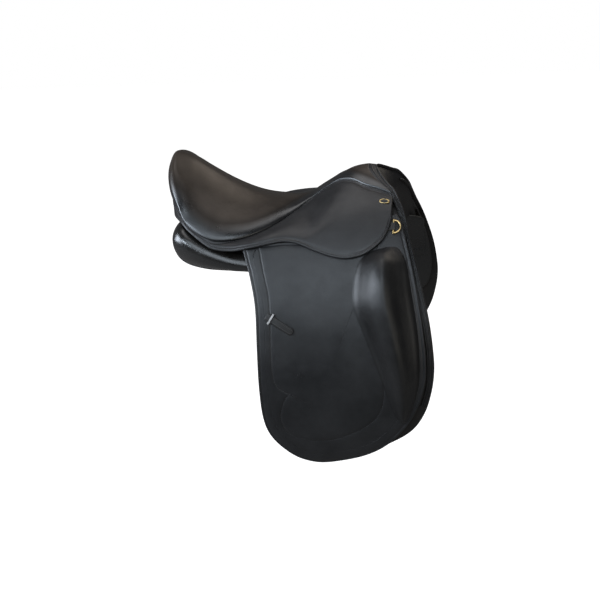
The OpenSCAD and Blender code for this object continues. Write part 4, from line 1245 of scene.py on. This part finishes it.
@dataclass
class SmallParts:
    """The saddle nails and the keepers."""

    skirt: Skirt
    nail_at: Tuple[float, float] = (0.52, 0.42)
    nail_out: float = 3.2
    nail_slope: float = 48.0
    nail_long: float = 10.0
    nail_short: float = 5.0
    strap_at: Tuple[float, float] = (-21.0, -81.0)
    strap_drop: float = 31.0
    strap_long: float = 58.0
    strap_half: float = 5.8
    strap_round: float = 53.0
    strap_thick: float = 2.6

    def nails(self) -> None:
        """Builds both oval nails: a brass rim round a plain dark dome."""
        u, v = self.nail_at
        a = math.radians(self.nail_slope)
        p = self.skirt.band(np.array([u]), np.array([v]))[0, 0]
        p = p + self.nail_out * np.array([0, -math.cos(a), math.sin(a)])
        yaw, lean = Matrix.Rotation(math.radians(-12), 3, "Z"), Matrix.Rotation(math.radians(40), 3, "X")
        turn = np.array(yaw @ lean)
        f = turns(48)
        oval = np.stack([self.nail_long * np.cos(f), self.nail_short * np.sin(f), np.zeros_like(f)], axis=1)
        up = np.array([0, 0, 1.0])
        rings = np.array([[1, -1.6], [1.02, -0.6], [1, 0.3], [0.93, 0.95], [0.84, 0.8], [0.78, 0.1],
                          [0.78, -1.6]])
        rim = oval[None] * rings[:, :1, None] + up * rings[:, 1:, None]
        rho = np.linspace(0, 1, 9)[:, None, None]
        dome = oval[None] * (0.79 * rho) + up * (0.15 + 0.7 * (1 - rho ** 2))
        rims, domes = Shell("saddle_nail_rims"), Shell("saddle_nail_domes")
        for side in Side:
            rims.grid(side.place(rim @ turn.T + p), True)
            domes.grid(side.place(dome @ turn.T + p), True)
        ring = rims.build(BRASS)
        face = domes.build(PIPING_LEATHER)
        for piece in (ring, face):
            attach(piece, "saddle")
        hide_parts("saddle_nails")
        LOG.info("saddle nails")

    def keeper(self, side: Side) -> None:
        """Builds one side's keeper: a strap with a round end on the flap, sewn along both edges."""
        along = self.strap_long * (1 - np.cos(np.linspace(0, np.pi, 40))) / 2
        end = (along - self.strap_round) / (self.strap_long - self.strap_round)
        wide = self.strap_half * np.where(end < 0, 1.0, np.sqrt(np.clip(1 - end ** 2, 0.02, None)))
        across = np.linspace(-1, 1, 13)[None] * wide[:, None]
        drop = math.radians(self.strap_drop)
        x = self.strap_at[0] + along[:, None] * math.cos(drop) + across * math.sin(drop)
        foot = SIDE_R * float(angle_of(self.strap_at[1], SIDE_R))
        arc = foot - along[:, None] * math.sin(drop) + across * math.cos(drop)
        rise = 1.9 + 1.6 * np.sin(np.pi * along / 70)[:, None] + 0 * across
        a = arc / SIDE_R
        mid, out = on_side(x, a, SIDE_R + rise), side_normal(a)
        shell = Shell(f"keeper_strap_{side.word}").sheet(mid, out, self.strap_thick)
        strap = shell.build(STRAP_LEATHER, side)
        shell = Shell(f"keeper_stitches_{side.word}")
        for j in (2, 10):
            line, normal = mid[2:-3, j], out[2:-3, j]
            shell.stitches(line + normal * self.strap_thick / 2, normal, *KEEPER_STITCH)
        stitches = shell.build(THREAD, side)
        for piece in (strap, stitches):
            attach(piece, f"flap_{side.word}")
        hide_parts(f"keeper_{side.word}")
        LOG.info("keeper %s", side.word)


@dataclass
class Fittings:
    """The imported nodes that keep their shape, and the finish that each of them gets."""

    finishes: Dict[str, Finish] = field(default_factory=lambda: {
        "tree_frame": WOOD, "tree_head": WOOD, "gullet_plate": STEEL, "head_rivets": STEEL,
        "spring": STEEL, "seat_webs": WEB, "girth_web": WEB, "head_lining": PANEL_LEATHER,
        "point_pocket": STRAP_LEATHER, "stirrup_bar": STEEL, "catch_pins": STEEL, "bar_catch": STEEL,
        "strap_rivets": BRASS, "girth_strap": STRAP_LEATHER, "panel_bridge": PANEL_LEATHER,
        "staple": STEEL, "dee_chape": STRAP_LEATHER, "dee_ring": BRASS})

    def dress(self, nodes: Dict[str, bpy.types.Object]) -> None:
        """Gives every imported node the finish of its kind, or strap leather."""
        for name, obj in nodes.items():
            finish = next((f for kind, f in self.finishes.items() if name.startswith(kind)), STRAP_LEATHER)
            obj.data.materials.clear()
            obj.data.materials.append(finish.material())
        LOG.info("%d packed nodes", len(nodes))


@dataclass
class Studio:
    """The floor, the light and the camera."""

    target: Tuple[float, float, float] = (0.0, 0.0, -0.150)
    turn: float = 10.8
    tilt: float = 23.5
    roll: float = -3.5
    away: float = 1.8
    lens: float = 49.77
    sensor: float = 36.0
    floor_z: float = -0.62
    floor_half: float = 6.0
    gloss: float = 0.05

    def camera(self) -> None:
        """Places the camera: turned to the front, tilted down and rolled a little."""
        a, e, r = [math.radians(v) for v in (self.turn, self.tilt, self.roll)]
        forward = Vector((-math.sin(a) * math.cos(e), math.cos(a) * math.cos(e), -math.sin(e)))
        right = Vector((math.cos(a), math.sin(a), 0))
        up = right.cross(forward)
        right2 = right * math.cos(r) + up * math.sin(r)
        up2 = up * math.cos(r) - right * math.sin(r)
        cam = bpy.data.objects.new("camera", bpy.data.cameras.new("camera"))
        cam.data.lens = self.lens
        cam.data.sensor_width = self.sensor
        place = Vector(self.target) - forward * self.away
        cam.matrix_world = Matrix((
            (right2.x, up2.x, -forward.x, place.x), (right2.y, up2.y, -forward.y, place.y),
            (right2.z, up2.z, -forward.z, place.z), (0, 0, 0, 1)))
        bpy.context.scene.collection.objects.link(cam)
        bpy.context.scene.camera = cam

    def lamp(self, name: str, place: Sequence[float], size: float, power: float, colour: Colour) -> None:
        """Adds a square soft lamp that faces the saddle."""
        data = bpy.data.lights.new(name, "AREA")
        data.size, data.energy, data.color = size, power, colour
        obj = bpy.data.objects.new(name, data)
        obj.location = place
        way = Vector(self.target) - Vector(place)
        obj.rotation_euler = way.to_track_quat("-Z", "Y").to_euler()
        bpy.context.scene.collection.objects.link(obj)

    def seen_white(self, nodes: Nodes, soft: bpy.types.Node, seen: bpy.types.Node, out: str) -> None:
        """Shows one shader to the camera, to glass and partly to gloss, and another one as light.

        Args:
            nodes: the nodes of the floor or the world.
            soft: shader that lights the saddle.
            seen: shader of the white ground.
            out: name of the output node.
        """
        path = nodes.add("ShaderNodeLightPath")
        share: Union[float, Socket] = 0.0
        rays = (("Is Camera Ray", 1.0), ("Is Transmission Ray", 1.0), ("Is Glossy Ray", self.gloss))
        for name, weight in rays:
            share = nodes.add("ShaderNodeMath", {0: path.outputs[name], 1: weight, 2: share},
                              operation="MULTIPLY_ADD", use_clamp=True).outputs[0]
        mix = nodes.add("ShaderNodeMixShader", {0: share, 1: soft.outputs[0], 2: seen.outputs[0]})
        nodes.tree.links.new(mix.outputs[0], nodes.tree.nodes[out].inputs[0])

    def floor(self) -> None:
        """Builds the pale floor, which keeps a faint shadow of the saddle."""
        mesh = bpy.data.meshes.new("floor")
        line = np.linspace(-self.floor_half, self.floor_half, 3)
        x, y = np.meshgrid(line, line, indexing="ij")
        p = np.stack([x, y, np.full_like(x, self.floor_z)], axis=-1).reshape(-1, 3)
        i = np.arange(9).reshape(3, 3)
        quads = np.stack([i[:-1, :-1], i[1:, :-1], i[1:, 1:], i[:-1, 1:]], axis=-1).reshape(-1, 4)
        mesh.from_pydata(p.tolist(), [], quads.tolist())
        obj = bpy.data.objects.new("floor", mesh)
        bpy.context.scene.collection.objects.link(obj)
        g = Graph("studio_floor")
        g.feed("Base Color", (0.12, 0.115, 0.11, 1))
        g.feed("Roughness", 0.9)
        far = g.add("ShaderNodeVectorMath", {0: g.coord}, operation="LENGTH").outputs["Value"]
        glow = g.add("ShaderNodeEmission", {"Strength": g.spread(far, 0.93, 1.0, 1.0, 2.6)})
        pale = g.add("ShaderNodeBsdfDiffuse", {"Color": (0.6, 0.6, 0.6, 1)})
        seen = g.add("ShaderNodeAddShader", {0: glow.outputs[0], 1: pale.outputs[0]})
        self.seen_white(g, g.shader, seen, "Material Output")
        mesh.materials.append(g.mat)

    def build(self) -> None:
        """Builds the whole studio."""
        scene = bpy.context.scene
        scene.view_settings.view_transform = "Standard"
        world = bpy.data.worlds.new("studio")
        scene.world = world
        world.use_nodes = True
        nodes = Nodes(world.node_tree)
        soft = world.node_tree.nodes["Background"]
        soft.inputs["Color"].default_value = (0.95, 0.97, 1.0, 1)
        soft.inputs["Strength"].default_value = 0.04
        seen = nodes.add("ShaderNodeBackground", {"Color": (1, 1, 1, 1)})
        self.seen_white(nodes, soft, seen, "World Output")
        self.lamp("window", (-1.75, -0.45, 0.45), 1.0, 30.0, (0.86, 0.91, 1.0))
        self.lamp("near_sky", (0.0, -1.5, 1.1), 1.3, 14.0, (0.87, 0.93, 1.0))
        self.lamp("kicker", (-1.15, -1.25, 0.75), 0.35, 8.0, (0.84, 0.91, 1.0))
        self.lamp("top", (-0.2, 0.2, 1.75), 1.3, 8.5, (1.0, 0.94, 0.92))
        self.lamp("far_sky", (0.9, 1.4, 1.1), 1.3, 8.5, (1.0, 0.88, 0.77))
        self.lamp("side", (1.3, -1.3, 0.3), 1.3, 4.3, (1.0, 0.9, 0.78))
        self.floor()
        self.camera()


def main() -> None:
    """Builds the saddle's pieces in order and the studio round them."""
    logging.basicConfig(level=logging.INFO, format="%(name)s: %(message)s")
    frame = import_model()
    form = SeatForm()
    skirt = Skirt(form)
    small = SmallParts(skirt)
    Fittings().dress(frame["nodes"])
    Seat(form).build()
    Pommel().build()
    for side in Side:
        skirt.build(side)
        Flap().build(side)
        SweatFlap().build(side)
        KneeBlock().build(side)
        Panel().build(side)
        small.keeper(side)
    small.nails()
    Studio().build()


if __name__ == "__main__":
    main()
